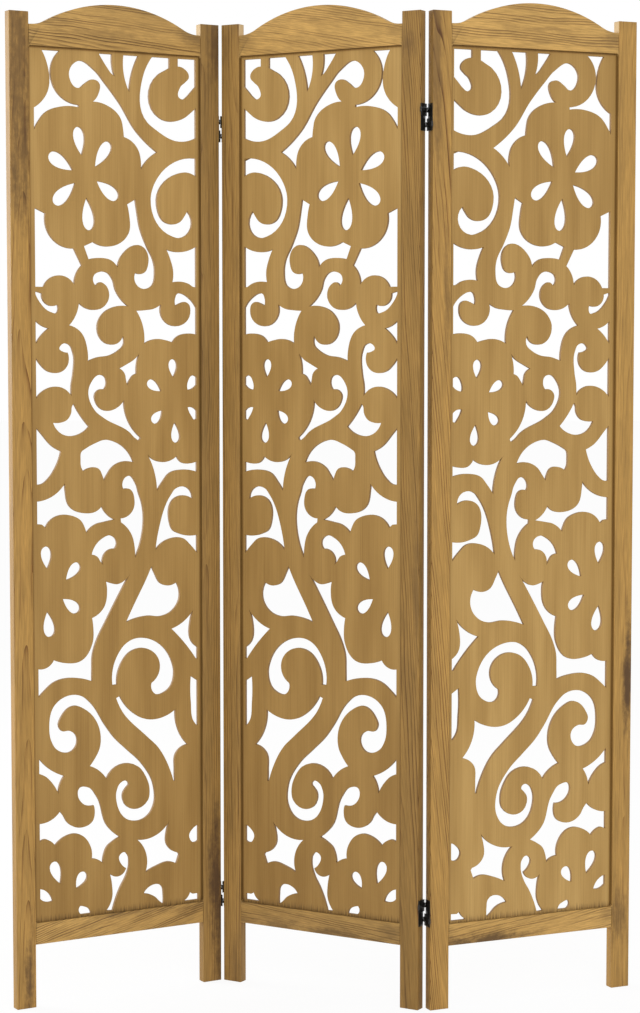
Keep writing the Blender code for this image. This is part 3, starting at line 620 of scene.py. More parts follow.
def startLine(name, x, z):
    # one point at the front of a rail, to draw its outline with
    clearSelection()
    bpy.ops.mesh.primitive_plane_add(size=mm)
    piece = bpy.context.object
    piece.name = name
    startEditing(piece)
    bpy.ops.mesh.merge(type="CENTER")
    bpy.ops.transform.translate(value=(x, -rail["thickness"] / 2, z))
    return piece


def drawArc(x, z, clockwise, steps):
    # spin turns against the right-hand rule
    bpy.ops.mesh.spin(steps=steps, angle=-math.radians(clockwise), center=(x, 0, z), axis=(0, 1, 0))


def drawOpeningEdge(half, level, away):
    # from the left end, along the edge on the opening and back to the right end
    radius, steps = rail["cornerRadius"], rail["cornerSteps"]
    turn = -90 * away
    drawArc(-half + radius, level + away * radius, turn, steps)
    pull(2 * (half - radius), 0, 0)
    drawArc(half - radius, level + away * radius, turn, steps)


def cutFromOutline(piece):
    # closes the outline, fills it and gives it its thickness and eased edges
    half = rail["thickness"] / 2
    weld(rail["weld"])
    bpy.ops.mesh.edge_face_add()
    pull(0, rail["thickness"], 0)
    weld(rail["weld"])
    pick("EDGE", lambda ends: near(ends[0].y, ends[1].y) and near(abs(ends[0].y), half))
    ease(rail["arris"], rail["arrisSteps"])
    stopEditing()


def joinFrame(piece, tenon, level, away):
    # the tenons, and a groove that is open towards the opening
    half = rail["length"] / 2
    reach, past = half + rail["tenonLength"], half + rail["overcut"]
    depth, width = rail["tenonThickness"] / 2, stile["grooveWidth"] / 2
    mouth = level - away * (rail["cornerRadius"] + rail["overcut"])
    floor = level + away * stile["grooveDepth"]
    groove = min(mouth, floor), max(mouth, floor)
    useTool(piece, addBlock((-reach, -depth, tenon[0]), (reach, depth, tenon[1])), "UNION")
    useTool(piece, addBlock((-past, -width, groove[0]), (past, width, groove[1])), "DIFFERENCE")
    smoothShade(piece)


def modelTopRail():
    half, level, shoulder = rail["length"] / 2, opening["top"], opening["shoulder"]
    fillet, rise = rail["fillet"], rail["crownRise"]
    footX = half - rail["shoulderFlat"]
    reach = (footX ** 2 + rise ** 2) / (2 * rise)  # radius of crown and fillet together
    swing = math.degrees(math.asin(footX / reach))
    piece = startLine("topRail", half, shoulder)
    pull(-rail["shoulderFlat"], 0, 0)
    drawArc(footX, shoulder + fillet, swing, rail["filletSteps"])
    drawArc(0, shoulder + rise - (reach - fillet), -2 * swing, rail["crownSteps"])
    drawArc(-footX, shoulder + fillet, swing, rail["filletSteps"])
    pull(-rail["shoulderFlat"], 0, 0)
    pull(0, 0, level - rail["cornerRadius"] - shoulder)
    drawOpeningEdge(half, level, -1)
    pull(0, 0, shoulder - level + rail["cornerRadius"])
    cutFromOutline(piece)
    joinFrame(piece, rail["highTenon"], level, 1)
    return piece


def modelBottomRail():
    half, level, foot = rail["length"] / 2, opening["bottom"], rail["footLevel"]
    piece = startLine("bottomRail", half, foot)
    pull(-2 * half, 0, 0)
    pull(0, 0, level + rail["cornerRadius"] - foot)
    drawOpeningEdge(half, level, 1)
    pull(0, 0, foot - level - rail["cornerRadius"])
    cutFromOutline(piece)
    joinFrame(piece, rail["lowTenon"], level, -1)
    return piece


for word, pattern in (("top", modelTopRail()), ("bottom", modelBottomRail())):
    for panel in panelPlace:
        node = f"{panel}_panel_{word}_rail"
        piece = copyPiece(pattern, node + "_timber")
        layGrain(piece, node, (0, 2, 1))
        setOnPanel(piece, panel)
        standFor(piece, node, finish["rail"])
    putAway(pattern)
print("rails shaped")

# Fretwork boards. The ornament is drawn once, on a sheet in millimetres with x from the left
# border and y downwards. A tuple is a point that the line flows through and a list is a
# sharp corner
fretwork = {
    "sheet": (302, -2, 1468),  # right edge, top and bottom of the drawing
    "fieldLeft": -153 * mm, "fieldWidth": 302 * mm, "fieldTop": 1619 * mm, "fieldBottom": 149 * mm,
    "boardHalf": 167 * mm, "boardBottom": 138 * mm, "boardTop": 1632 * mm,
    "thickness": 6 * mm, "edgeRound": 0.35 * mm, "edgeSteps": 1, "edgeSmooth": 35,
    "smoothness": 8, "petalPoints": 28, "weld": 0.002 * mm,
    "slant": 33,  # degrees that the drawing is turned while it is filled
    "flat": 0.9,  # how squarely a face looks forwards or back, to count as one of the flats
}

openings = [
    # Hook in the upper left corner
    [[0, -2], [34, -2], [34, 11.5], (23, 14), (13, 30), (20, 38), (29, 46), (30.5, 65.5),
     (24, 67), (17, 62.5), (8, 53), [0, 44.5]],
    # Crescent round the upper left scroll
    [[50, -2], [83, -2], (101, 34), (93, 109), (77, 121), (33, 139.5), [0, 132.5], [0, 81.5],
     (10, 90), (22, 99), (68, 101.5), (71, 27), (60, 20.5), [50, 15]],
    # Two spikes at the top
    [[109, -2], [137, -2], (136.5, 30), [126.5, 59.5], (122, 31)],
    [[158.5, -2], [183, -2], (168, 20), (160, 30), [153.5, 34.5], (158.5, 14)],
    # Bird's head above the large flower
    [[74.5, 159.5], (114, 125), (145, 79), (172, 46.5), (190, 27), (222, 13), (237.5, 40),
     (220, 57.5), (209, 49.5), (195, 42), (184.5, 45), (185, 68), [194, 79], (171, 83),
     (141.5, 108), (138.5, 122), [137, 136], (109.5, 158), (105.5, 173), [105.3, 190], (97, 178)],
    # Waisted opening in the upper right corner
    [[255, -2], [287.5, -2], (279, 16), (280, 72.5), [302, 94], [302, 130], (294, 116),
     (283, 102.5), (250, 89.5), [220.5, 90], [220.5, 86], (265, 59), (270, 22)],
    # Crescent below it on the left
    [[0, 167.5], (72.5, 201.5), (87, 240), (46, 302.5), (33, 305), [17, 258.5], (22, 267),
     (31, 277.5), (58, 279.5), (75, 250), (34, 194.3), (17, 192), [0, 198.5]],
    # Corner piece under that crescent
    [[0, 319], (42, 329), [57.5, 325], (49.5, 343), (44.5, 362), [46, 381.5], (15, 383.5),
     (5, 389), [0, 389.5]],
    # Long stem between the crescent and the large flower
    [[116, 241], [131.5, 250], (128, 266), (129, 299), (167, 322.3), [195.5, 315],
     [212.5, 322.5], [204, 344.5], (188, 341.8), (158, 348), [150, 357], (143, 338.5),
     (100, 323), (92.5, 352), (99, 365), [117, 366], (113, 388), (88, 390), (79.5, 363),
     (82, 346), (95, 320), (107, 291), (113, 260)],
    # Opening right of the large flower
    [[302, 260.5], [283, 269], (276, 304), [231, 327], [216.5, 355], (225, 365.5), [231, 387.5],
     (270, 374.5), [287, 391.7], [302, 391.7]],
    # Left scroll with the field beside it
    [[0, 425], (16, 407), (28, 401), (36.5, 401), (41, 409), [40.5, 422], (31, 417), (22, 415),
     (14.5, 419), (11.5, 430), (40, 457.3), [68, 419.5], (83, 427.5), (98, 429.8), [115, 431],
     (101.5, 463), [100.5, 487], (75, 479), (60, 481), [46, 485], (39, 476.5), (15, 469.5),
     [0, 471.5]],
    # Double scroll in the middle
    [[130.5, 423.3], (154, 396), (160, 377), (169, 367), (184, 365.5), (194, 371), [190.5, 389],
     (184, 383), (173, 387.5), (166.5, 400), (178, 425.5), (193, 430), [222.5, 418],
     (227.5, 437), [240.5, 456], (222, 465), (207, 500), [206.5, 516.5], (190, 510.5),
     (165, 506.5), (150, 499), (140, 489.5), [141, 474], (150, 486), (163, 489), (188.5, 456),
     (181, 439.5), (150, 423)],
    # Comma and wedge at the right border
    [[302, 399.5], [290.5, 403], (280, 422), [262, 421.5], (260.8, 429), (263, 435), (274, 434),
     (295, 416.5), [302, 404]],
    [[278.5, 461.5], (292, 456.5), [302, 448.5], [302, 487.5], (293.5, 475)],
    # Scroll and field below them
    [(234.5, 500), (240, 489.5), (256, 489.5), (259, 496), (254, 499.8), [244, 502], (245, 525),
     (281, 533.5), (292, 524.5), [302, 511], [302, 579], (290, 567), (249, 564), [237.5, 575.5],
     (237.3, 557), (234, 538)],
    # Small star right of the left flower
    [[110, 504], (120, 514.5), (133, 522), [147.5, 529.5], (138, 538), (135.5, 549),
     [133.5, 558.5], (128, 549), (122, 541.5), [115.5, 538.5], (114.8, 522)],
    # Two petals of the left flower that the border cuts
    [[0, 545.5], (6.5, 542.5), (17.5, 555), [17.5, 567], (9, 565.5), [0, 558.5]],
    [[17.5, 598], (9.5, 614), (4.5, 619.5), [0, 617.5], [0, 604], (6, 599)],
    # Tadpole
    [(172.3, 552), (175.5, 543.5), (184, 540.3), (202, 555), (194, 601), (178, 613.5),
     (130, 638.5), (117, 650.5), (111.5, 653), [109, 648], (131, 620.5), [139.5, 583.5],
     (150, 595), (184, 597.5), (192.5, 586), (194, 573.5), [177, 565]],
    # Boat and sail on the right
    [[233.5, 588.5], (226, 601.5), [205.5, 628], (216, 637), (266, 631), [271.5, 620.5],
     (257, 620.3), (246, 616), (238.5, 605), (236.5, 593)],
    [[302, 629], [302, 724], (293, 723.3), (282, 715.5), (270, 700), [257.5, 669], (271, 662),
     (294, 638)],
    # Cloud
    [[122, 691], (157, 655), (177, 651.3), (195, 657), (213, 666), (219.5, 670.5), (221.5, 684),
     (220.3, 697), [216.3, 704], (207, 699), (186.5, 701.5), (182, 709.5), [178.5, 721],
     (172, 711), (163, 699)],
    # Bat under the left flower
    [[0, 692.5], (9, 695), (32, 692), [39, 682], (62, 692), [95, 678.5], (80, 718),
     [77.5, 741.5], (66, 725.5), (54, 712), (27, 706), [0, 710.5]],
    # Scroll at the left border
    [[9, 757.5], (10.5, 747.5), (42, 739), (50.5, 749), (75, 811), [80.8, 844.5], (50, 825),
     (26, 826.5), (14, 837), [0, 853], [0, 821], (35, 817.5), (47, 811), (53, 797), (42, 754.5)],
    # Tall leaf right of the main stem
    [(112, 745), (118, 727), (131, 714), (143.3, 726), [141.5, 736.5], (131, 736.3),
     (120.5, 757), (123, 772), [147, 787], [146.5, 793.5], (125, 819), (121, 836), [120, 856],
     (107, 821), (107, 759)],
    # Spread wing at the right border
    [[159, 788.5], (170, 781.5), [182.5, 764.5], (190, 771.5), (215, 775.7), (242, 763.5),
     (250, 735), [251, 724], (278, 747), [302, 753], [302, 791], [293.5, 792], [287, 797.5],
     (281, 788.5), (235, 780), (222, 787.5), (215, 799), [211.5, 809.5], (193, 795),
     (178, 791.7)],
    # Thorn in the stem of the right flower
    [(154.5, 829), (169, 815.3), (181, 819.5), [202, 847], (191.5, 851), (185.5, 859.5),
     [181, 865.5], (174, 843), [158.5, 838.5]],
    # Large leaf left of the main stem
    [[88.5, 872], (83, 884), (70, 903.8), [41, 902.5], (34.5, 927), (52, 954), (70, 960),
     (96, 958), [138, 967], (126, 943.5), (95, 886)],
    # Long wedge along the right of the main stem
    [[131, 885], (141, 895), (154, 900.2), (166, 898), [175.5, 894], (173.5, 910), (181, 941),
     [202, 956], (200, 970), (202, 1001), (221, 1027.5), (255, 1030), [273.5, 1024],
     (290, 1037.5), [302, 1037.8], [302, 1086], (290, 1074.5), (275, 1063), (224, 1058.7),
     [202.5, 1065], (202.3, 1045), (201, 1018), (194, 996.5), (176, 963)],
    # Three-pointed star at the left border
    [[8, 952.5], (30, 974), [50.5, 983.5], (34, 1000), [3, 1039], [0, 1039], [0, 1019],
     (8.5, 1012), (13, 969)],
    # Large open ring
    [[155.5, 1074], [164.5, 1074.5], (153.5, 1021.5), (141, 1006), (127, 998), (93, 999),
     (49, 1043.5), (45.8, 1061), (60, 1091.5), (85, 1094), [89.8, 1076], (74, 1041),
     (95, 1016.5), (125, 1016.5), (150, 1043)],
    # Slim slot at the left border
    [[0, 1078], [13.5, 1069], (13.5, 1115), (8, 1149.5), [1.5, 1157.5], [0, 1157.5]],
    # Tail below the ring
    [[150.5, 1094.5], [157.5, 1097.5], (150, 1115), (98, 1170), (80, 1187), (55.5, 1229.5),
     [48, 1252], [45, 1252], (45.5, 1233), (42, 1202.5), [20.5, 1189.5], (40, 1157),
     [43.5, 1125.5], (58, 1134), (106, 1137), (123, 1127.5)],
    # Great double scroll near the foot
    [(86.5, 1257), (111, 1214), (137, 1189.5), (162, 1165.5), (178, 1144), (205, 1103),
     (220, 1090.5), (272, 1100.5), (283, 1139), (279.5, 1162), (269, 1178), (237, 1179.5),
     (235, 1154), (246, 1147.5), (260, 1146.5), (265.5, 1137), (261, 1123.5), (234, 1105),
     (218, 1111.5), (187.3, 1161), (190, 1184), (197, 1197), [208, 1211.5], (190, 1221.5),
     [176.7, 1236.5], (116, 1220.5), (102, 1238.5), (94.7, 1261), (98, 1281.5), (145.5, 1276),
     (145, 1263), (139.5, 1255.5), (134.7, 1249.5), (139.5, 1243.3), (150, 1246),
     (157.5, 1258.5), (158, 1278), (136, 1312), (98, 1308.5), (87, 1292)],
    # Fish tail at the right border
    [[302, 1191], [302, 1217], (291, 1222), (280, 1232.5), [267, 1254], (264.5, 1240),
     [256, 1224.5], (287, 1207)],
    # Bird near the foot
    [(195, 1266), (209, 1249.5), (229.5, 1250), (231, 1258), (226, 1271), [201, 1280.5],
     (199.3, 1293), (203, 1307), (224, 1316.8), (251, 1305), (258, 1293), [264.5, 1285],
     (275, 1295), [302, 1303], [302, 1334], (293, 1330.3), (283, 1334), [273.7, 1343],
     (250, 1327.8), (238, 1326), (207, 1353), [205.5, 1373], (196, 1375), [184.5, 1383],
     (182, 1367), (176.5, 1355.5), (166, 1347.5), [152.5, 1340.5], (175, 1320)],
    # Half petal and star at the lower left
    [[0, 1334.5], (9, 1339), (17.5, 1355), (6, 1365.3), [0, 1362.5]],
    [[56.5, 1322.5], (83, 1345), [118, 1349.5], (101, 1378), [103.5, 1408.5], (84, 1400),
     (55, 1394.5), [43, 1399], [37.5, 1384], [40, 1380], (61, 1364.5), (61, 1337)],
    # Petal and scrap at the lower border
    [[68.5, 1468], (68.3, 1452), (71, 1437.5), (100, 1437), [107, 1445.5], (85, 1453.5),
     (76, 1462.5)],
    [[0, 1456.5], [11, 1457], [16.5, 1453.5], (20.5, 1461), [27, 1466.5], [26, 1468], [0, 1468]],
    # Fish hook
    [(134.5, 1388), (136.5, 1375), (144, 1368.2), (152, 1372), (148.5, 1390), [140.5, 1396.5],
     (152, 1408.8), [171.5, 1403], (167.3, 1425), (167.5, 1446), [178.5, 1467], [166.5, 1468],
     (151, 1428), (141, 1411)],
    # Two petals of the lowest flower that the border cuts
    [[279, 1438.5], (290, 1421), [302, 1415.5], [302, 1432], (292, 1438.5)],
    [[208, 1468], (210.5, 1461), (218, 1456), [227.5, 1453], (230.5, 1457.5), [225, 1468]],
]

# Whole petals: the tip, the middle of the round end, and the width
petals = [
    # Large flower
    ((215.8, 170), (223, 122.5), 21),
    ((191, 188.5), (163.5, 146), 21.5),
    ((232, 195.5), (275.5, 170.3), 23.5),
    ((188, 212.5), (148.5, 241), 23),
    ((207.5, 241), (202, 295.5), 22.5),
    ((228, 217), (267, 252.5), 24),
    # Left flower
    ((45, 545.5), (46.5, 514), 16.5),
    ((68.5, 569), (94.5, 552), 16.5),
    ((66.5, 602.5), (85.5, 623), 17),
    ((43, 623.5), (40, 659), 17),
    # Right flower
    ((284.3, 867.6), (287, 829.5), 19.5),
    ((250, 888.5), (225.5, 861), 19),
    ((256, 920.5), (226, 943), 20),
    ((285, 940.5), (279.5, 984), 21),
    # Lowest flower
    ((235, 1422), (218.5, 1395), 19),
    ((264.5, 1410), (278, 1371), 20),
]


def toBoard(mark, mirror):
    right, top, bottom = fretwork["sheet"]
    across = (fretwork["fieldLeft"] + mark[0] / right * fretwork["fieldWidth"]) * mirror
    down = (mark[1] - top) / (bottom - top)
    height = fretwork["fieldTop"] - down * (fretwork["fieldTop"] - fretwork["fieldBottom"])
    return Vector((across, height, 0))


def bendDirection(before, point, after):
    # the way that the circle through three points runs at the middle one
    back, on = point - before, after - point
    return (back / back.length_squared + on / on.length_squared).normalized()


def mirrored(direction, chord):
    along = chord.normalized()
    return 2 * direction.dot(along) * along - direction


def flowHandles(points):
    # the two handles of each span between two corners
    if len(points) == 2:
        third = (points[1] - points[0]) / 3
        return [(points[0] + third, points[1] - third)]
    chords = [b - a for a, b in zip(points, points[1:])]
    inner = [bendDirection(*points[i - 1:i + 2]) for i in range(1, len(points) - 1)]
    ways = [mirrored(inner[0], chords[0]), *inner, mirrored(inner[-1], chords[-1])]
    handles = []
    for i, chord in enumerate(chords):
        turn = (chord.angle(ways[i]) + chord.angle(ways[i + 1])) / 2
        length = chord.length / (3 * math.cos(turn / 2) ** 2)
        handles.append((points[i] + ways[i] * length, points[i + 1] - ways[i + 1] * length))
    return handles


def drawFlowingLine(curve, marks, mirror):
    first = next(i for i, mark in enumerate(marks) if isinstance(mark, list))
    marks = marks[first:] + marks[:first]
    points = [toBoard(mark, mirror) for mark in marks]
    count = len(points)
    corners = [i for i, mark in enumerate(marks) if isinstance(mark, list)] + [count]
    spans = []
    for start, end in zip(corners, corners[1:]):
        spans += flowHandles([points[i % count] for i in range(start, end + 1)])
    line = curve.splines.new("BEZIER")
    line.bezier_points.add(count - 1)
    for i, knot in enumerate(line.bezier_points):
        knot.handle_left_type = knot.handle_right_type = "FREE"
        knot.co = points[i]
        knot.handle_right = spans[i][0]
        knot.handle_left = spans[i - 1][1]
    line.use_cyclic_u = True
    line.resolution_u = fretwork["smoothness"]


def drawPolygon(curve, points):
    line = curve.splines.new("POLY")
    line.points.add(len(points) - 1)
    for point, place in zip(line.points, points):
        point.co = (*place, 1)
    line.use_cyclic_u = True


def petalOutline(tip, end, width, mirror):
    tip, length = Vector(tip), Vector(end) - Vector(tip)
    peak = 4 / math.sqrt(27)  # the greatest value of sin(t) sin(t / 2)
    across = Vector((-length.y, length.x)).normalized() * width / (2 * peak)
    turns = [2 * math.pi * i / fretwork["petalPoints"] for i in range(fretwork["petalPoints"])]
    return [toBoard(tip + length * (1 - math.cos(t)) / 2
                    + across * math.sin(t) * math.sin(t / 2), mirror) for t in turns]


def drawBoard(name, mirror):
    curve = bpy.data.curves.new(name, "CURVE")
    curve.dimensions = "2D"
    curve.fill_mode = "BOTH"
    curve.bevel_depth = fretwork["edgeRound"]
    curve.bevel_resolution = fretwork["edgeSteps"]
    curve.extrude = fretwork["thickness"] / 2 - fretwork["edgeRound"]
    curve.offset = -fretwork["edgeRound"]
    half, low, high = fretwork["boardHalf"], fretwork["boardBottom"], fretwork["boardTop"]
    drawPolygon(curve, [Vector((x, z, 0)) for x, z in (
        (-half, low), (half, low), (half, high), (-half, high))])
    for marks in openings:
        drawFlowingLine(curve, marks, mirror)
    for petal in petals:
        drawPolygon(curve, petalOutline(*petal, mirror))
    return curve


def modelBoard(name, mirror):
    clearSelection()
    curve = drawBoard(name, mirror)
    # filled at a slant, so that no two corners lie level
    slant = Matrix.Rotation(math.radians(fretwork["slant"]), 4, "Z")
    curve.transform(slant)
    piece = bpy.data.objects.new(name, curve)
    bpy.context.scene.collection.objects.link(piece)
    takeUp(piece)
    bpy.ops.object.convert(target="MESH")
    piece = bpy.context.object
    piece.matrix_world = Matrix.Rotation(math.pi / 2, 4, "X") @ slant.inverted()
    bakePlace(piece)
    startEditing(piece)
    weld(fretwork["weld"])
    stopEditing()
    markSawnEdges(piece)
    smoothShade(piece, fretwork["edgeSmooth"])
    startEditing(piece)
    pick("FACE", lambda corners: all(near(abs(c.y), fretwork["thickness"] / 2) for c in corners))
    bpy.ops.mesh.faces_shade_flat()
    stopEditing()
    return piece


def markSawnEdges(piece):
    sawn = piece.data.attributes.new("sawn", "FLOAT", "FACE")
    for face in piece.data.polygons:
        sawn.data[face.index].value = float(abs(face.normal.y) <= fretwork["flat"])


for panel, mirror in (("left", -1), ("middle", 1), ("right", 1)):
    node = f"{panel}_panel_fretwork"
    piece = modelBoard(node + "_board", mirror)
    layGrain(piece, node, (2, 0, 1))
    setOnPanel(piece, panel)
    standFor(piece, node, finish["board"])
    print(node, "cut:", len(piece.data.polygons), "faces")

# Two-way hinges, pressed from sheet and rolled round short pins. Each leaf is rolled to the
# front pin in one half and to the back pin in the other. Curls and necks are in degrees
hinge = {
    "levels": {"upper_left": 1479 * mm, "lower_left": 132.5 * mm,
               "upper_right": 1482.5 * mm, "lower_right": 143.5 * mm},
    "height": 45 * mm, "halfGap": 4 * mm, "sheet": 0.7 * mm, "pinRadius": 0.9 * mm,
    "fit": 0.3 * mm, "knuckle": 4 * mm,
    "leafCurl": 280, "linkNeck": 60, "linkCurl": 270, "curlSteps": 18, "weld": 0.001 * mm,
    "arris": 0.12 * mm, "arrisSteps": 2, "arrisAngle": 50,
    "pinSides": 28, "pinRound": 0.3 * mm, "pinRoundSteps": 3,
}
barrelRadius = hinge["pinRadius"] + hinge["fit"] + hinge["sheet"]
curlRadius = barrelRadius - hinge["sheet"] / 2
halfHeight = (hinge["height"] - hinge["halfGap"]) / 2
pinLength = 2 * hinge["knuckle"] + hinge["fit"]
knuckleStart = (halfHeight - pinLength) / 2
leafKnuckle = (knuckleStart, knuckleStart + hinge["knuckle"])
linkKnuckle = (knuckleStart + hinge["knuckle"] + hinge["fit"], knuckleStart + pinLength)


def addPlate(name, x, halfWidth, height):
    # an upright plate across the gap between two stiles
    clearSelection()
    bpy.ops.mesh.primitive_plane_add(size=1, location=(x, 0, height / 2), rotation=(0, math.pi / 2, 0))
    plate = bpy.context.object
    plate.name = name
    plate.scale = (height, 2 * halfWidth, 1)
    bakePlace(plate)
    return plate


def addRod(name, sides, radius, depth, place, turn):
    clearSelection()
    bpy.ops.mesh.primitive_cylinder_add(
        vertices=sides, radius=radius, depth=depth, location=place, rotation=turn)
    rod = bpy.context.object
    rod.name = name
    bakePlace(rod)
    return rod


def pickEdge(y, low, high):
    pick("EDGE", lambda ends: all(near(e.y, y) and within(low, e.z, high) for e in ends))


def rollEdge(side, anticlockwise):
    bpy.ops.mesh.spin(steps=hinge["curlSteps"], angle=-math.radians(anticlockwise),
                      center=(0, side * stand["pinOffset"], 0), axis=(0, 0, 1))


def thicken(piece):
    weld(hinge["weld"])
    stopEditing()
    wall = piece.modifiers.new("sheet", "SOLIDIFY")
    wall.thickness = hinge["sheet"]
    wall.offset = 0
    wall.use_even_offset = True
    arris = piece.modifiers.new("arris", "BEVEL")
    arris.width = hinge["arris"]
    arris.segments = hinge["arrisSteps"]
    arris.limit_method = "ANGLE"
    arris.angle_limit = math.radians(hinge["arrisAngle"])
    takeUp(piece)
    for change in (wall.name, arris.name):
        bpy.ops.object.modifier_apply(modifier=change)
    smoothShade(piece)


def modelLeaf():
    edge = stand["pinOffset"] - barrelRadius
    upper = halfHeight + hinge["halfGap"]
    piece = addPlate("leafPattern", -curlRadius, edge, hinge["height"])
    startEditing(piece)
    for z in (*leafKnuckle, upper + leafKnuckle[0], upper + leafKnuckle[1]):
        sliceAt((0, 0, z), (0, 0, 1))
    for side, base in ((1, 0), (-1, upper)):
        pickEdge(side * edge, base + leafKnuckle[0], base + leafKnuckle[1])
        pull(0, side * barrelRadius, 0)
        rollEdge(side, -side * hinge["leafCurl"])
    thicken(piece)
    return piece


def modelLink():
    offset = stand["pinOffset"]
    edge = offset - barrelRadius - hinge["sheet"]
    lowSlit, highSlit = leafKnuckle[0] - hinge["fit"], linkKnuckle[1] + hinge["fit"]
    neck = math.radians(hinge["linkNeck"])
    neckX, neckY = curlRadius * math.cos(neck), offset - curlRadius * math.sin(neck) - edge
    piece = addPlate("linkPattern", 0, edge, halfHeight)
    startEditing(piece)
    for z in (lowSlit, *linkKnuckle, highSlit):
        sliceAt((0, 0, z), (0, 0, 1))
    for side in (-1, 1):
        pickEdge(side * edge, *linkKnuckle)
        pull(-side * neckX, side * neckY, 0)
        rollEdge(side, -hinge["linkCurl"])
        for low, high in ((0, lowSlit), (highSlit, halfHeight)):
            pickEdge(side * edge, low, high)
            pull(0, side * (offset - edge), 0)
    thicken(piece)
    return piece


def modelPin():
    piece = addRod("pinPattern", hinge["pinSides"], hinge["pinRadius"], pinLength,
                   (0, 0, halfHeight / 2), (0, 0, 0))
    startEditing(piece)
    pick("EDGE", lambda ends: near(ends[0].z, ends[1].z))
    ease(hinge["pinRound"], hinge["pinRoundSteps"])
    stopEditing()
    smoothShade(piece)
    return piece


# Countersunk screws with a cross recess. cross: half the width and half the length of a slot
screw = {
    "heights": (8.5 * mm, 36.5 * mm), "radius": 2.2 * mm, "depth": 0.6 * mm, "proud": 0.25 * mm,
    "sides": 24, "round": 0.2 * mm, "roundSteps": 3,
    "cross": (0.28 * mm, 1.3 * mm), "crossDepth": 0.3 * mm, "overcut": 1 * mm,
}


def modelScrew():
    # only the head shows, nearly flush in the leaf and facing the gap
    top = -curlRadius + hinge["sheet"] / 2 + screw["proud"]
    floor = top - screw["crossDepth"]
    piece = addRod("screwPattern", screw["sides"], screw["radius"], screw["depth"],
                   (top - screw["depth"] / 2, 0, 0), (0, math.pi / 2, 0))
    startEditing(piece)
    pick("EDGE", lambda ends: all(near(e.x, top) for e in ends))
    ease(screw["round"], screw["roundSteps"])
    stopEditing()
    wide, long = screw["cross"]
    for y, z in ((wide, long), (long, wide)):
        recess = addBlock((floor, -y, -z), (top + screw["overcut"], y, z))
        useTool(piece, recess, "DIFFERENCE")
    smoothShade(piece)
    return piece


def fitPiece(pattern, node, panel, place, turn, material):
    piece = copyPiece(pattern, node + "_formed")
    setOnPanel(piece, panel, place, turn)
    standFor(piece, node, material)


leafPattern, linkPattern = modelLeaf(), modelLink()
pinPattern, screwPattern = modelPin(), modelScrew()
print("hinge patterns rolled")


def fitHinge(name, left, right, foldsForward, level):
    gap = {left: stand["pitch"] / 2, right: -stand["pitch"] / 2}
    upper = level + halfHeight + hinge["halfGap"]
    # the links of the resting pin row stay with the panel that they lie against
    upperPanel, lowerPanel = (right, left) if foldsForward else (left, right)
    steel, wire = finish["hinge"], finish["pin"]
    for word, panel, turn in (("left", left, 0), ("right", right, math.pi)):
        place = (gap[panel], 0, level)
        fitPiece(leafPattern, f"{name}_{word}_leaf", panel, place, turn, steel)
        for spot, height in zip(("low", "high"), screw["heights"]):
            head = copyPiece(screwPattern, f"{name}_{word}_{spot}_screw")
            setOnPanel(head, panel, (gap[panel], 0, level + height), turn)
            head.data.materials.append(steel)
            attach(head, panel + "_panel")
    for word, panel, z in (("upper", upperPanel, upper), ("lower", lowerPanel, level)):
        place = (gap[panel], 0, z)
        fitPiece(linkPattern, f"{name}_{word}_link", panel, place, 0, steel)
        for row, y in (("front", -stand["pinOffset"]), ("back", stand["pinOffset"])):
            node = f"{name}_{word}_{row}_pin"
            fitPiece(pinPattern, node, panel, (gap[panel], y, z), 0, wire)


for name, level in hinge["levels"].items():
    onLeftFold = name.endswith("left")
    left, right = ("left", "middle") if onLeftFold else ("middle", "right")
    fitHinge(name + "_hinge", left, right, onLeftFold, level)
for pattern in (leafPattern, linkPattern, pinPattern, screwPattern):
    putAway(pattern)
print("hinges fitted")

# Studio: a white floor and background, an even soft light, a lamp in front and one behind
# on the left that catches the edges
studio = {
    "floorSize": 60.0, "floorWhite": "FAFAFA", "floorGlow": 0.92, "white": "FFFFFF", "surround": 0.74,
    "lamps": {
        "keyLamp": {"power": 60, "size": (2.4, 2.4), "place": (0.8, -4.6, 2.7)},
        "rimLamp": {"power": 80, "size": (1.6, 2.4), "place": (-3.4, 1.45, 1.55)},
    },
    "aim": (0, 0, 0.85),
}
camera = {
    "place": (-0.0105, -4.1066, 1.1350), "tilt": 86.041, "lens": 85.158, "sensor": 36.0, "far": 200,
}


def seenDirectly(tree):
    # 1 for what the camera, a gloss or a clear surface sees, 0 for light on the object
    path = addNode(tree, "LightPath", {}, None)
    seen = addNode(tree, "Math", {
        0: path["Is Camera Ray"], 1: path["Is Glossy Ray"]}, operation="MAXIMUM")
    return addNode(tree, "Math", {0: seen, 1: path["Is Transmission Ray"]}, operation="MAXIMUM")


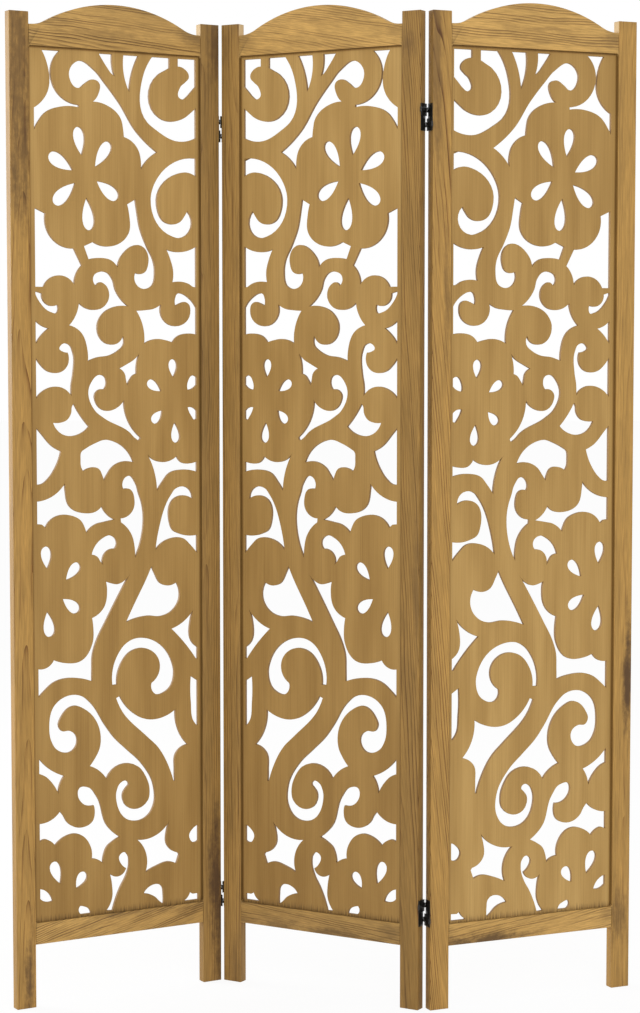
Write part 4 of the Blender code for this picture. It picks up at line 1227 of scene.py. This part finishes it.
def layFloor():
    clearSelection()
    bpy.ops.mesh.primitive_plane_add(size=studio["floorSize"])
    floor = bpy.context.object
    floor.name = "studioFloor"
    material, tree = startMaterial("White studio floor")
    paint = addNode(tree, "BsdfDiffuse", {"Color": hexColour(studio["floorWhite"])})
    glow = addNode(tree, "Emission", {"Color": hexColour(studio["white"]), "Strength": 1.0})
    share = addNode(tree, "Math", {
        0: seenDirectly(tree), 1: studio["floorGlow"]}, operation="MULTIPLY")
    mixed = addNode(tree, "MixShader", {0: share, 1: paint, 2: glow})
    addNode(tree, "OutputMaterial", {"Surface": mixed}, None)
    floor.data.materials.append(material)


def hangLamp(name, look):
    lamp = bpy.data.lights.new(name, "AREA")
    lamp.energy = look["power"]
    lamp.shape = "ELLIPSE"
    lamp.size, lamp.size_y = look["size"]
    holder = bpy.data.objects.new(name, lamp)
    bpy.context.scene.collection.objects.link(holder)
    holder.location = look["place"]
    aim = Vector(studio["aim"]) - Vector(look["place"])
    holder.rotation_euler = aim.to_track_quat("-Z", "Y").to_euler()


def lightWorld():
    world = bpy.data.worlds.new("Studio")
    bpy.context.scene.world = world
    world.use_nodes = True
    tree = world.node_tree
    tree.nodes.clear()
    white = hexColour(studio["white"])
    light = addNode(tree, "Background", {"Color": white, "Strength": studio["surround"]})
    backdrop = addNode(tree, "Background", {"Color": white, "Strength": 1.0})
    mixed = addNode(tree, "MixShader", {0: seenDirectly(tree), 1: light, 2: backdrop})
    addNode(tree, "OutputWorld", {"Surface": mixed}, None)


def setCamera():
    lens = bpy.data.cameras.new("photoCamera")
    lens.lens = camera["lens"]
    lens.sensor_width = camera["sensor"]
    lens.clip_end = camera["far"]
    holder = bpy.data.objects.new("photoCamera", lens)
    bpy.context.scene.collection.objects.link(holder)
    holder.location = camera["place"]
    holder.rotation_euler = (math.radians(camera["tilt"]), 0, 0)
    bpy.context.scene.camera = holder


layFloor()
for name, look in studio["lamps"].items():
    hangLamp(name, look)
lightWorld()
setCamera()
bpy.context.scene.view_settings.view_transform = "Standard"
print("studio lit")
